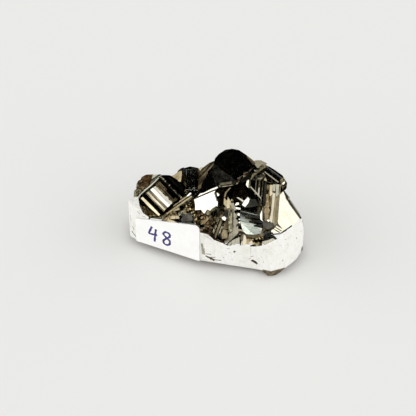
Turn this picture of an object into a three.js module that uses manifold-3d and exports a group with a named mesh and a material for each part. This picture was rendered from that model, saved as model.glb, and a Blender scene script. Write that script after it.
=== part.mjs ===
// A hand-sized pyrite cluster: bright striated crystals grown together on one mass,
// ground flat round its sides, with a paper number label stuck on the front left.
// Millimetres, +Z up, the front towards -Y, the origin under the middle of the piece.
import * as THREE from 'three';
import { ConvexGeometry } from 'three/addons/geometries/ConvexGeometry.js';
import { mergeVertices } from 'three/addons/utils/BufferGeometryUtils.js';
import Module from 'manifold-3d';

const wasm = await Module();
wasm.setup();

// The ground side, as seen from above, counterclockwise from the left end
const sideOutline = [
  [-28.9, 0], [-28.7, -2.8], [-26.2, -4.9], [-5.1, -14.9], [3, -16.5], [11.2, -17.8],
  [13.2, -18], [15.2, -19.5], [18, -20.4], [22.8, -18.6], [26.4, -14.6], [28.9, -9.9],
  [28.6, -4], [27, 3], [23.4, 10.4], [17.5, 16.2], [9.5, 19.6], [1, 20.4], [-7, 18.2],
  [-14, 15.4], [-20.5, 13.8], [-26, 9.6], [-28.6, 5],
];
const sideTop = 32;
const lowerEdge = 2.5;
const footInset = 3;

// The corners of the rough lump under the right of the front
const footLump = [
  [13.6, -18.2, 2.7], [15.2, -19.5, 2.7], [18, -20.4, 2.7], [22.8, -18.6, 2.7], [16.4, -19.9, 0.8],
  [18.3, -20.4, 0.7], [21, -19, 0.9], [17, -19.7, 0], [19.6, -19.4, 0], [20.4, -12.2, 0],
  [15.7, -12.4, 0], [21, -13, 2.7], [15, -13, 2.7],
];

// Where the right end of the side leans inward: turn and rise of each leaning plane, a point on it
const sideSlopes = [
  { turn: 72, rise: 9, at: [28.9, -9.9, 9.5] },
  { turn: 48, rise: 11, at: [24.6, -16.6, 3.2] },
  { turn: 20, rise: 8, at: [20.4, -19.5, 3.2] },
];

// Small breaks in the ground side: place, size and turn of each
const chips = [
  { at: [12.6, -18.1, 4.6], size: [2.2, 1.2, 0.9], turn: 20 },
  { at: [-1.9, -15.9, 4.0], size: [3.4, 1.0, 0.8], turn: -8 },
  { at: [28.9, -10.4, 3.4], size: [1.4, 1.2, 2.0], turn: 50 },
  { at: [6.0, -17.3, 8.2], size: [0.9, 0.8, 0.9], turn: 35 },
];
const chipLean = [0.4, 0.5];

// Crystals are drawn as they are looked at, from the front and this far above the level
const lookingDown = THREE.MathUtils.degToRad(40);
const drawRight = new THREE.Vector3(1, 0, 0);
const drawUp = new THREE.Vector3(0, Math.sin(lookingDown), Math.cos(lookingDown));
const drawOut = new THREE.Vector3(0, -Math.cos(lookingDown), Math.sin(lookingDown));

// How much a crystal narrows towards the back: each one a little differently
const leastNarrowing = 0.04;
const moreNarrowing = 0.0061;
const narrowingRound = 7;

const labelThickness = 0.3;
const labelGap = 0.3;
const labelFrom = [-26.2, -4.9];
const labelTo = [-5.1, -14.9];
const labelBottom = 2.6;
const labelTopLeft = 12.4;
const labelTopRight = 17.7;
const labelCorner = 1.8;

const cutterSize = 90;

// Crystals. at: a point on the first facet. facets: [turn, rise, out] of each plane, the turn
// from the front towards the right and the rise above the level in degrees, out from at.
// outline: [right, up] as drawn, carried back by depth and narrowing on the way.
// ledges: growth steps on a facet, which run at an angle to its level line, with the place
// of the first one across them and the [slope, width] of each.
const crystals = {
  leftBarrel: {
    at: [-18.3, -1.2, 18.6],
    facets: [[-53, 66, 2.3], [175, 36, 7.6], [130, 32, 8]],
    outline: [
      [-25.7, 13.1], [-24.5, 14.9], [-21.6, 16.9], [-18.9, 19.7], [-17.6, 20.5], [-15, 20.4],
      [-12.7, 19], [-10.7, 16.4], [-10.2, 14.4], [-11.1, 13.1], [-14, 11.3], [-16.3, 9.2],
      [-18.3, 6.7], [-21.6, 6.4], [-23.6, 7.5], [-25, 10.2],
    ],
    depth: 15,
    ledges: {
      facet: [0, 55, 0],
      run: -46,
      start: -11.1,
      steps: [
        [20, 2.9], [-38, 2.3], [20, 1.5], [12.6, 0.5], [-38, 1.8], [10.8, 2], [-11, 1.1], [1, 1],
        [10, 1], [-9, 0.6], [12, 0.5], [22, 1.1], [35, 0.5], [44, 2], [36, 0.6], [24, 0.6], [36, 0.5],
        [44, 4.5],
      ],
    },
  },
  barrelEnd: {
    at: [-15, -3.5, 15.4],
    facets: [[-53, 63, 0], [14, 39, 0.4]],
    outline: [
      [-11.1, 13], [-9.4, 13.1], [-9.7, 11.8], [-13, 9.5], [-15.3, 7.9], [-17.3, 5.9], [-19.3, 5.9],
      [-18.3, 6.9], [-16.3, 9.2], [-14, 11.3],
    ],
    depth: 10,
  },
  leftEndCrystal: {
    at: [-26.7, -4.3, 17.3],
    facets: [[-20, 50, 0], [-150, 30, 2.3]],
    outline: [
      [-29, 9.8], [-28.9, 11.8], [-28.1, 12.4], [-26.9, 13.2], [-25.4, 13.1], [-24.9, 10.2],
      [-23.8, 7.9], [-21.8, 6.4], [-22.5, 5.2], [-25.8, 6.9], [-27.7, 8.8],
    ],
    depth: 8,
  },
  rustCrystal: {
    at: [-22.8, 6, 19.6],
    facets: [[-50, 60, 0], [-75, 40, 0.8], [-165, 38, 2]],
    outline: [
      [-25.2, 18.5], [-24.8, 19.8], [-23.2, 20.7], [-20.8, 20.7], [-20.7, 19.5], [-21.7, 17.5],
      [-23.2, 15.5], [-24.5, 15.5],
    ],
    depth: 12,
  },
  oldCrystal: {
    at: [-25.1, 4.4, 18.7],
    facets: [[-56, 62, 0], [-85, 30, 0.7], [-140, 36, 1.8]],
    outline: [
      [-26.4, 15.5], [-26.4, 17.5], [-25.8, 18.6], [-24.5, 19.3], [-23.8, 17.5], [-22.1, 16.8],
      [-23.5, 15.2], [-25.5, 14.8],
    ],
    depth: 12,
  },
  leftSmall: {
    at: [-26, 1.2, 17.9],
    facets: [[-52, 60, 0], [-80, 34, 0.3], [-150, 36, 1.5]],
    outline: [[-27.2, 13.3], [-27, 15.5], [-26, 16.1], [-24.7, 15.5], [-24.3, 14.5], [-26, 12.8]],
    depth: 10,
  },
  greenBlocks: {
    at: [-20.1, 5.6, 20.7],
    facets: [[8, 35, 0], [-60, 66, 0.3], [178, 38, 1.3]],
    outline: [[-22.1, 16.8], [-21.4, 18.5], [-20.9, 20.6], [-18.1, 20.7], [-17.5, 19.8], [-21.1, 15.8]],
    depth: 12,
  },
  sliverCrystal: {
    at: [-12.8, 7.3, 21.1],
    facets: [[-52, 62, 0], [-48, 66, 0.1], [-165, 38, 0.8]],
    outline: [
      [-15.8, 19.7], [-14.5, 20], [-12.8, 21.3], [-11.2, 22.5], [-11.2, 20.8], [-11.5, 18.2],
      [-13.2, 18.2],
    ],
    depth: 10,
  },
  middleBackCrystal: {
    at: [-8.5, 6, 20.4],
    facets: [[16, 85, 2.1], [180, 40, 4.2], [-120, 28, 3.7]],
    outline: [
      [-11.8, 19.5], [-11.5, 21.1], [-10.5, 22.8], [-8.5, 23.4], [-5.8, 22.9], [-5, 21.8], [-5, 16.2],
      [-7.2, 15.5], [-9.2, 15.5], [-10.5, 17.2],
    ],
    depth: 14,
    ledges: {
      facet: [0, 36, 0],
      run: 90,
      start: -3.7,
      steps: [
        [-31, 1.2], [-24, 0.6], [-33, 0.3], [-20, 0.6], [-31, 0.3], [-12, 0.8], [10, 0.3], [30, 0.6],
        [8, 0.5], [-8, 0.7], [29, 0.6], [10, 0.3], [31, 0.4], [20, 0.9],
      ],
    },
  },
  tallEdge: {
    at: [-3.2, 5.4, 23],
    facets: [[-52, 62, 0], [-160, 36, 3.4]],
    outline: [
      [-5.8, 15.5], [-5.5, 21.4], [-4.5, 22.7], [-3.2, 23.7], [-1.8, 24.7], [-0.2, 26], [0.1, 24.4],
      [-1.5, 22.7], [-2.8, 20.7], [-4.5, 18.4], [-4.8, 16.1],
    ],
    depth: 14,
    ledges: {
      facet: [-53, 63, 0],
      run: 96,
      start: -6.2,
      steps: [[-12, 4.2], [-7, 0.8], [-14, 1], [4, 0.7], [12, 0.7], [3, 3.7]],
    },
  },
  tallSide: {
    at: [-1.5, 4, 21.6],
    facets: [[-8, 33, 0], [-50, 42, 1]],
    outline: [
      [-4.8, 15.8], [-4.8, 18.4], [-3.8, 20.2], [-2.5, 21.7], [-1.2, 23.2], [0.1, 24.7], [0.8, 22.1],
      [1.1, 16.1], [-1.2, 15.5],
    ],
    depth: 14,
  },
  tallCrystal: {
    at: [4.1, 3.7, 23.1],
    facets: [[8, 34, 0], [1, 27, -0.1], [172, 40, 8.9], [-140, 30, 7.4], [125, 32, 9.4]],
    outline: [
      [-0.9, 20], [-0.7, 23.7], [-0.2, 25.8], [1.1, 27.3], [3.1, 28.6], [5.4, 29], [7.7, 28.6],
      [10, 27.1], [12.3, 25.2], [12.8, 23.3], [11.3, 21.4], [9, 19.7], [7.4, 18.9], [6.4, 17.1],
      [4.1, 16.3], [0.8, 16.1],
    ],
    depth: 17,
  },
  tallRim: {
    at: [11, 7, 28],
    facets: [[-53, 63, 0], [140, 36, 0.5]],
    outline: [[9, 27.8], [10.3, 26.9], [12.3, 25.2], [13, 24], [12.3, 23.8], [11, 25.6]],
    depth: 10,
  },
  ridgeLeft: {
    at: [13.4, -3.9, 23.3],
    facets: [],
    outline: [
      [10.8, 16], [10.8, 18.3], [12.1, 19.1], [15, 18.6], [16.5, 18.1], [16.3, 15.3], [16.2, 12.1],
      [15.7, 10.1], [15, 10.1], [14, 12.7],
    ],
    depth: 14,
    ledges: {
      facet: [-60, 58, 0],
      run: 139,
      start: -5.4,
      steps: [
        [28, 1.3], [15, 0.5], [-60.6, 0.8], [28, 1.1], [-60.6, 1], [15.5, 0.3], [-60.6, 0.8],
        [27, 0.7], [-60.6, 0.6], [12, 0.5], [-60.6, 0.4], [27, 0.7], [-60.6, 0.8], [15.5, 0.2],
        [-60.6, 0.6], [27, 0.5], [-60.6, 0.6], [12, 1.3],
      ],
    },
  },
  ridgeCrystal: {
    at: [18.1, -8.7, 21],
    facets: [],
    outline: [
      [16, 18.1], [18.1, 17.6], [21.4, 17.1], [21, 15], [20.6, 12.1], [20.2, 8.5], [19.8, 5],
      [18.5, 3.4], [17.7, 2.9], [15.6, 4.2], [14.9, 7.2], [15.1, 10.1], [15.9, 12.1],
    ],
    depth: 16,
    ledges: {
      facet: [-60, 58, 0],
      run: 138,
      start: -5.3,
      steps: [
        [27, 1.6], [13.6, 1], [-60.2, 0.5], [27, 0.5], [-60.2, 0.5], [11, 0.8], [5, 0.8], [9.5, 1.5],
        [-60.2, 0.4], [14.3, 2.4],
      ],
    },
  },
  ridgeTop: {
    at: [17.8, 2.2, 25.1],
    facets: [[95, 40, 2.3], [172, 40, 4.1], [110, 30, 3.4]],
    outline: [
      [10.9, 18.7], [11.9, 21.3], [13.9, 22.8], [15.8, 24.2], [17.8, 23.3], [19.4, 22.3], [22.1, 20.3],
      [23.4, 17.7], [23.2, 16], [22.1, 15.1], [21.6, 17], [18.5, 17.5], [15.2, 18.5],
    ],
    depth: 16,
    ledges: {
      facet: [40, 78, 0],
      run: -82,
      start: -7.6,
      steps: [
        [-12, 4.6], [-28, 0.9], [4, 0.9], [-14, 1.1], [-28, 1], [-10, 0.8], [8, 0.8], [-27, 0.9],
        [8, 3.3],
      ],
    },
  },
  ridgeOlive: {
    at: [14.5, 3.7, 26.4],
    facets: [[-53, 63, 0]],
    outline: [[12.7, 21], [13.6, 22.3], [15.9, 24.1], [17.2, 23.1], [15.5, 22.3], [13.9, 21]],
    depth: 8,
  },
  ridgeBlock: {
    at: [14.4, -0.1, 26.1],
    facets: [[12, 40, 0], [-53, 63, 0.9]],
    outline: [[11.3, 18.8], [12.1, 20.9], [13.8, 21.4], [15.7, 20.6], [15.7, 18.9], [13.4, 18.6]],
    depth: 8,
  },
  ridgeCross: {
    at: [17.1, 0.3, 25.4],
    facets: [[40, 78, 0], [-53, 63, 0.5]],
    outline: [[15.1, 20.8], [15.8, 21.1], [18.7, 19], [20, 17.5], [17.7, 17.7], [15.8, 18.5]],
    depth: 8,
  },
  ridgeTip: {
    at: [22.2, -2.8, 24.5],
    facets: [[-53, 63, 0], [20, 40, 0.4]],
    outline: [[20.9, 18.6], [22.2, 19.6], [23.2, 17.6], [23, 16], [21.8, 15], [21.4, 16.6]],
    depth: 8,
  },
  ridgeGlint: {
    at: [22, -2.7, 25.2],
    facets: [[0, 55, 0]],
    outline: [[21.5, 17.3], [21.9, 17.9], [22.5, 18.1], [22.4, 17.5], [21.9, 17]],
    depth: 6,
  },
  behindRidge: {
    at: [14.1, 8.4, 24],
    facets: [[-50, 62, 0], [175, 38, 1.9]],
    outline: [
      [11.5, 20.8], [12.1, 25], [13.4, 25.4], [15.1, 25.4], [17.1, 24.3], [16.1, 22.8], [14.1, 20.8],
    ],
    depth: 12,
  },
  rightEndCrystal: {
    at: [23.5, -7.5, 18.7],
    facets: [[52, 57, 0]],
    outline: [
      [21, 15], [21.7, 15.5], [22.5, 15], [23.8, 12.3], [25.4, 9.8], [27.1, 7.4], [28, 5.9],
      [26.7, 4.3], [24.1, 2.5], [22.5, 1.4], [19.6, -0.2], [17.8, 1.9], [18.9, 3.7], [20, 6.3],
      [20.4, 9.5],
    ],
    depth: 20,
  },
  rightCorner: {
    at: [19.2, -16.7, 17.6],
    facets: [],
    outline: [
      [17.5, 2.5], [18.2, 3.6], [19.7, 4.9], [21.4, 2.8], [20.8, 1.8], [19.2, 0.7], [17.9, 0.9],
    ],
    depth: 8,
    ledges: {
      facet: [52, 57, 0],
      run: -68,
      start: -3.7,
      steps: [[-9, 2.4], [-2, 0.6], [9, 0.4], [-3, 0.5], [9, 0.4], [0, 2.3]],
    },
  },
  rightEdge: {
    at: [25, -3.7, 17.7],
    facets: [[70, 20, 0], [20, 60, 2.5], [125, 34, 0.3]],
    outline: [
      [21.9, 15.6], [22.9, 15.4], [24.1, 12.8], [26.2, 10], [28.1, 7.5], [28.5, 5.2], [27.5, 6.2],
      [25.5, 9.3], [23.6, 12.3],
    ],
    depth: 14,
  },
  stripedCrystal: {
    at: [11.8, -9.7, 17.2],
    facets: [[-9, 60, 0]],
    outline: [
      [7.9, 5], [7.9, 7.9], [8.4, 9.8], [9.3, 11.1], [10.8, 13.1], [12.4, 13.7], [14, 13.1],
      [15, 11.8], [15, 8.2], [14.7, 5.6], [15.8, 4], [16, 2.4], [15.3, 0.9], [13.1, 0.3], [10.5, 0.6],
      [8.8, 2],
    ],
    depth: 14,
    ledges: {
      facet: [0, 62, 0],
      run: -15,
      start: -10.5,
      steps: [
        [-22, 4.5], [-10, 0.4], [-20, 1.3], [-6, 0.4], [-16, 1.6], [-9, 0.3], [-15, 1.3], [-5.4, 0.4],
        [-10, 0.9], [-4.5, 8.2],
      ],
    },
  },
  upperGlint: {
    at: [14.9, -7.9, 21.1],
    facets: [[52, 57, 0]],
    outline: [[14.5, 12.6], [15.1, 12.2], [15.6, 11.1], [15.9, 9.8], [15.3, 10], [14.8, 11.3]],
    depth: 6,
  },
  sideGlint: {
    at: [14.6, -10.6, 18.3],
    facets: [[0, 55, 0]],
    outline: [[15, 9], [15.3, 7.9], [15.1, 6.3], [15.4, 5.1], [14.4, 5.8], [14.3, 7.4]],
    depth: 6,
  },
  longSide: {
    at: [3.3, -10.5, 15.2],
    facets: [[-48, 60, 0], [-20, 44, 0.5]],
    outline: [
      [2.7, 9.5], [4.3, 11.1], [5.1, 10.1], [5.1, 6.3], [4.6, 2.4], [3.7, -1.5], [1.7, -2],
      [1.4, -0.6], [2.2, 2], [3.2, 5.3], [3.3, 7.9],
    ],
    depth: 12,
  },
  longFront: {
    at: [5.6, -10.5, 16.1],
    facets: [],
    outline: [
      [4.3, 11.1], [5.8, 11.3], [6.7, 9.2], [6.9, 7.2], [7.2, 4], [7.2, 1.4], [5.9, 0.1], [3.3, -2.2],
      [2.7, -1.5], [4.5, 2], [5, 6.3], [5, 9.8],
    ],
    depth: 12,
    ledges: {
      facet: [-30, 60, 0],
      run: 113,
      start: -2.6,
      steps: [[-10, 1.8], [-14, 0.3], [-8, 0.4], [-16, 0.2], [-11, 0.7], [-15, 0.3], [-8, 1]],
    },
  },
  teeth: {
    at: [7.4, -9.8, 16.4],
    facets: [],
    outline: [
      [6.1, 10.8], [8.2, 10.8], [8, 7.9], [8.2, 5], [8.9, 2], [7.9, 0.3], [5.6, -0.2], [6.9, 2.4],
      [6.9, 6.3],
    ],
    depth: 10,
    ledges: {
      facet: [0, 55, 0],
      run: -10,
      start: -6.6,
      steps: [
        [-20, 2.4], [-38, 0.8], [-4, 0.7], [-22, 1.4], [2, 0.7], [-18, 1.3], [6, 0.4], [22, 1.4],
        [4, 0.4], [24, 1.2], [9, 0.6], [28, 3],
      ],
    },
  },
  mirrorCrystal: {
    at: [-3.2, -1.8, 17.3],
    facets: [],
    outline: [
      [-7.1, 12.5], [-6.1, 13.1], [-5.1, 14.3], [-3.8, 14.6], [-1.5, 15.8], [0.6, 16.6], [1.1, 16.1],
      [0, 15.1], [0.2, 13.4], [0.8, 11.8], [0.6, 9.8], [-0.9, 9.2], [-2, 8.2], [-2.5, 6.5],
      [-3.8, 7.2], [-5, 8.7], [-6.9, 8.2], [-6.7, 10.2],
    ],
    depth: 12,
    ledges: {
      facet: [0, 55, 0],
      run: 24,
      start: -6.9,
      steps: [[-4, 4.6], [-34, 0.7], [1, 8.5]],
    },
  },
  innerBrown: {
    at: [-5.4, -7.6, 14.9],
    facets: [[-20, 42, 0], [-50, 60, 0.2]],
    outline: [
      [-7.7, 8.5], [-6.7, 8.8], [-4.8, 9], [-3.8, 7.5], [-3.2, 6.2], [-3.8, 4.3], [-5.8, 3.9],
      [-7.4, 5.3],
    ],
    depth: 10,
  },
  goldMiddle: {
    at: [-4.1, -9, 14.4],
    facets: [[0, 55, 0], [-53, 63, 0]],
    outline: [[-5.8, 4.6], [-4.5, 6.4], [-2.8, 6.9], [-2.2, 5.9], [-3.5, 4.3], [-5.1, 3.6]],
    depth: 8,
  },
  brownCrystal: {
    at: [-2.2, -10.8, 13.8],
    facets: [[-51, 61, 0], [20, 40, 0.5]],
    outline: [
      [-4.1, 4], [-2.8, 6.2], [-1.5, 7.2], [-0.5, 6.2], [-0.2, 4.9], [-0.9, 2], [-1.5, 0.7],
      [-3.2, 2.7],
    ],
    depth: 10,
  },
  darkCorner: {
    at: [-3.5, -10.9, 12.6],
    facets: [[8, 35, 0]],
    outline: [[-5.4, 4], [-4.1, 4.3], [-2.5, 2.7], [-1.2, 0.7], [-2.8, 0.4], [-4.8, 1.4]],
    depth: 10,
  },
  roundCrystal: {
    at: [-0.5, -6.2, 15.9],
    facets: [[8, 36, 0], [-50, 60, 0.4], [10, 75, 0.7]],
    outline: [
      [-2.2, 8.2], [-1.2, 9.3], [0.1, 10.2], [1.1, 9.8], [1.4, 7.9], [0.8, 6.2], [-0.9, 5.6],
      [-2.2, 6.6],
    ],
    depth: 10,
  },
  uprightDark: {
    at: [1.8, -2.8, 17.8],
    facets: [[2, 38, 0], [-40, 44, 0.5]],
    outline: [
      [0, 15.4], [1.1, 16.4], [4.1, 16.6], [4.1, 14.8], [3.4, 13.1], [2.4, 10.8], [3.4, 8.8],
      [3.7, 6.2], [2.1, 5.7], [0.5, 7.9], [0.9, 11.1], [0.1, 13.8],
    ],
    depth: 12,
  },
  uprightGlint: {
    at: [0.6, -1.5, 19.9],
    facets: [[0, 55, 0]],
    outline: [[0, 14.7], [0.8, 14.4], [1.3, 13.8], [0.8, 13.3], [0.3, 13.6]],
    depth: 5,
  },
  uprightCrystal: {
    at: [3.7, -4.3, 18.5],
    facets: [[-50, 62, 0], [48, 58, 0.1]],
    outline: [[3.1, 14.2], [3.7, 13.7], [5, 11.6], [5, 9.8], [3.9, 9.3], [2.6, 10.8], [2.7, 12.4]],
    depth: 10,
  },
  boxCrystal: {
    at: [1.1, -11.9, 13.9],
    facets: [[-50, 55, 0]],
    outline: [
      [-1.5, 1.4], [-0.7, 4], [0.1, 5.9], [1.2, 6.7], [3.3, 6.7], [3.5, 5.6], [2.4, 2], [1.2, -1.2],
      [-0.2, -0.9],
    ],
    depth: 10,
    ledges: {
      facet: [-25, 52, 0],
      run: 88,
      start: -4.2,
      steps: [[-18, 2.3], [3, 0.7], [-14, 0.6], [5, 0.3], [-20, 0.8], [6, 0.4], [-12, 0.6], [2, 2]],
    },
  },
  boxGlint: {
    at: [2.4, -10.2, 16.8],
    facets: [[0, 55, 0]],
    outline: [[1.9, 6.5], [2.8, 6.8], [3.5, 6.2], [3, 5.3], [2.2, 5.8]],
    depth: 6,
  },
  footBlock: {
    at: [0.9, -14.9, 12.4],
    facets: [[0, 36, 0], [17, 47, 0.1]],
    outline: [[-0.1, -0.5], [0.4, 0.8], [1.4, 1.3], [2, 0.4], [2, -1.2], [1.1, -1.7]],
    depth: 8,
  },
  rimLedge: {
    at: [4.9, -16.6, 10.9],
    facets: [[-50, 62, 0]],
    outline: [[2.5, -2.8], [4, -1], [6.2, -0.4], [7.2, 0.5], [7.7, -0.5], [7.8, -2.8], [4, -3.4]],
    depth: 12,
  },
  rimLedgeRight: {
    at: [9.4, -17.2, 11.7],
    facets: [[-50, 62, 0]],
    outline: [[7.5, -2.7], [7.3, -0.5], [7, 0.6], [9.1, 1], [11.4, 0.2], [12, -2.1], [9.7, -3.4]],
    depth: 12,
  },
  rimCrystal: {
    at: [13.2, -17.6, 13.7],
    facets: [[40, 62, 0], [-30, 44, -0.9]],
    outline: [[11, -2], [11.4, -0.6], [12.9, 0], [13.9, 0.4], [15.5, 0.2], [16.1, -1.4], [13.5, -2.7]],
    depth: 10,
  },
  rimBlocks: {
    at: [17, -17.4, 15.3],
    facets: [[-6, 40, 0], [30, 72, 0.7]],
    outline: [
      [15.1, -0.1], [15.7, 1.8], [17.7, 2.3], [18.3, 1.2], [19.6, 0.7], [18.6, -1.1], [15.4, -2.3],
    ],
    depth: 12,
  },
  brownTip: {
    at: [16.5, -13.8, 15.6],
    facets: [[-52, 60, 0], [10, 42, 0.2]],
    outline: [[14.6, 4.3], [15.5, 4.3], [17.5, 2.9], [18.1, 2.1], [16.8, 1.3], [15.2, 1.4]],
    depth: 10,
  },
  hollowCrystal: {
    at: [8.1, 3.1, 17.6],
    facets: [[20, 40, 0], [-40, 44, 1.3]],
    outline: [
      [3.8, 15.8], [5.8, 16.6], [7.5, 18.1], [9.8, 18.5], [11.5, 16.8], [12.8, 14.8], [11.1, 12.8],
      [8.1, 12.2], [5.5, 11.2], [3.8, 13.2],
    ],
    depth: 8,
  },
  hollowGlint: {
    at: [9.6, -4.6, 18.8],
    facets: [[0, 55, 0]],
    outline: [[8.6, 10.5], [9.3, 11.8], [10.6, 13.1], [11.1, 12.4], [10.7, 11.1], [9.6, 9.8]],
    depth: 6,
  },
  hollowSpark: {
    at: [7.1, -5.3, 18.3],
    facets: [[0, 55, 0]],
    outline: [[6.3, 10.5], [6.8, 11.3], [7.6, 11.3], [7.6, 10.3], [7, 9.9]],
    depth: 5,
  },
  hollowLine: {
    at: [8, -3.6, 19],
    facets: [[52, 57, 0]],
    outline: [[6.8, 12.9], [7.3, 13.1], [9.3, 11.9], [8.9, 11.3]],
    depth: 9,
  },
  ridgeEnd: {
    at: [10.8, 1.7, 21.3],
    facets: [[0, 55, 0]],
    outline: [[10, 17.1], [10.3, 18.4], [11.2, 19], [11.5, 18.4], [11.4, 16.1], [10.6, 16.2]],
    depth: 8,
  },
  saddleCrystal: {
    at: [8.4, 2.6, 21.8],
    facets: [[20, 42, 0]],
    outline: [
      [6.6, 16.8], [7.2, 19.1], [9, 20.2], [10.4, 21.2], [12, 21], [11.3, 19.1], [10, 18.1], [8, 17.1],
    ],
    depth: 8,
  },
  saddleBit: {
    at: [7.4, 2, 22.3],
    facets: [[-53, 63, 0]],
    outline: [[6.6, 17.2], [7.2, 19.2], [8.4, 19.7], [8, 18.7], [7.4, 17.4]],
    depth: 6,
  },
  saddleEdge: {
    at: [10, 3.4, 23.9],
    facets: [[-53, 63, 0]],
    outline: [[9, 19.5], [9.3, 20.8], [10.7, 21.3], [10.8, 20.6], [10, 20]],
    depth: 6,
  },
  gapBlocks: {
    at: [-8.1, 0.5, 18],
    facets: [[0, 40, 0], [10, 80, 0.9]],
    outline: [
      [-10.4, 12.8], [-10.1, 15.4], [-8.4, 16.1], [-5.1, 15.6], [-4.8, 14.3], [-6.5, 12.8],
      [-6.8, 11.2], [-9.1, 11.5],
    ],
    depth: 8,
  },
  gapSpark: {
    at: [-9.8, 0.5, 18.9],
    facets: [[45, 60, 0]],
    outline: [[-10.2, 15.3], [-9.4, 15.4], [-9.3, 14.3], [-9.9, 14.1]],
    depth: 5,
  },
  gapGlint: {
    at: [-8.9, -0.6, 18.5],
    facets: [[0, 55, 0]],
    outline: [[-9.9, 13.1], [-8.4, 14.6], [-7.9, 14.3], [-9.4, 12.9]],
    depth: 5,
  },
  hollowLedge: {
    at: [-12.3, -3.3, 17.3],
    facets: [],
    outline: [
      [-17.4, 6.7], [-16.3, 8.8], [-14, 11.1], [-10.7, 13.1], [-8.1, 13.6], [-7.1, 12.5], [-8.4, 11.1],
      [-11.4, 10.2], [-13.7, 8.8], [-15.6, 6.9],
    ],
    depth: 10,
    ledges: {
      facet: [-51, 62, 0],
      run: 76,
      start: -3.3,
      steps: [[3, 1.8], [-14, 0.7], [2, 0.5], [-14, 0.7], [4, 0.6], [-12, 1.8]],
    },
  },
  ledgeCream: {
    at: [-9, -4.3, 17.5],
    facets: [[0, 55, 0], [-50, 60, 0.2]],
    outline: [[-10.7, 10.2], [-9.7, 11], [-8.4, 10.8], [-8.2, 10], [-9.5, 9.5]],
    depth: 6,
  },
  ledgeBlock: {
    at: [-12.3, -6, 16.2],
    facets: [[-30, 46, 0], [-51, 62, 0.1], [30, 76, 0.4]],
    outline: [[-14.6, 7.2], [-13.9, 8.7], [-12, 9.7], [-10.4, 9.3], [-10.7, 7.9], [-12.6, 6.9]],
    depth: 8,
  },
  brownWall: {
    at: [-7.4, -4.8, 16.4],
    facets: [[-30, 46, 0]],
    outline: [[-8.7, 12.4], [-7.1, 12.6], [-6.7, 10.2], [-6.8, 8.2], [-7.7, 7.9], [-8.6, 9.8]],
    depth: 10,
  },
  goldLumps: {
    at: [-9.4, -6.1, 16.7],
    facets: [[-50, 60, 0], [-14, 52, 0.1], [50, 58, 0.9]],
    outline: [[-11, 8.2], [-10.5, 9.5], [-9, 9.9], [-7.6, 9.2], [-7.4, 7.9], [-9, 7.5], [-10.3, 7.5]],
    depth: 8,
  },
  lumpEdge: {
    at: [-11.3, -6.9, 16.1],
    facets: [[10, 50, 0], [-53, 63, 0.2]],
    outline: [[-12.5, 6.9], [-12, 8.2], [-10.8, 8.7], [-10, 8.2], [-10.5, 7]],
    depth: 6,
  },
  darkFront: {
    at: [-9.3, -8.9, 15.6],
    facets: [[0, 38, 0], [20, 74, 0.7]],
    outline: [
      [-12.1, 5.6], [-11, 7.2], [-8.7, 7.7], [-7.1, 7.1], [-6.4, 5.3], [-6.7, 3.3], [-11.6, 3.3],
    ],
    depth: 10,
  },
  goldStrip: {
    at: [-7.1, -8.1, 16.2],
    facets: [[-50, 60, 0]],
    outline: [[-8, 9], [-7.1, 8.8], [-6.1, 6.2], [-5.8, 4.3], [-6.7, 4.3], [-7.4, 6.9]],
    depth: 10,
  },
  paleStrips: {
    at: [-14.6, -8.8, 15.1],
    facets: [[46, 60, 0], [-50, 60, 0.6]],
    outline: [
      [-17.5, 4.8], [-16.5, 5.8], [-14.2, 6.6], [-12.6, 6.4], [-11.6, 4.9], [-12, 3.3], [-18.1, 3.3],
    ],
    depth: 8,
  },
  brownFront: {
    at: [-14.3, -7.3, 15.6],
    facets: [[-30, 46, 0], [-52, 62, 0], [10, 78, 0.6]],
    outline: [
      [-18.2, 5.3], [-16.5, 7], [-14.6, 8.4], [-13.3, 8.4], [-12.6, 6.9], [-14.6, 5.9], [-17.2, 4.6],
    ],
    depth: 8,
  },
  frontStrip: {
    at: [-18.1, -8.9, 14.9],
    facets: [[-51, 62, 0]],
    outline: [
      [-22.1, 5.3], [-21.4, 6.2], [-18.1, 6.6], [-16.1, 7.6], [-15.9, 7.1], [-17.8, 5.3], [-18.1, 3.6],
      [-22.1, 3.6],
    ],
    depth: 8,
  },
};

// Blocky crystals of the back and the ends: place, half size, and turns about X, Y and Z
const blocks = [
  { at: [-22.5, 10.5, 9.5], size: 3.6, turns: [20, 30, 15] },
  { at: [-16, 13, 10], size: 4, turns: [50, 10, 40] },
  { at: [-9.2, 14.3, 11], size: 4.5, turns: [15, 40, 68] },
  { at: [-3, 16, 10.2], size: 4.4, turns: [35, 20, 10] },
  { at: [4, 17, 13], size: 4.6, turns: [60, 35, 20] },
  { at: [10, 15.5, 12.5], size: 4.6, turns: [25, 15, 55] },
  { at: [16, 13, 11.5], size: 4.4, turns: [40, 50, 5] },
  { at: [20.1, 7.8, 9.4], size: 3.9, turns: [10, 25, 35] },
  { at: [24.6, 2, 6], size: 3, turns: [55, 5, 25] },
  { at: [1.5, 11.5, 16.2], size: 3.9, turns: [45, 30, 0] },
  { at: [-27, 4.5, 9], size: 2.8, turns: [25, 10, 50] },
];
const blockBevel = 1.16;

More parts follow.
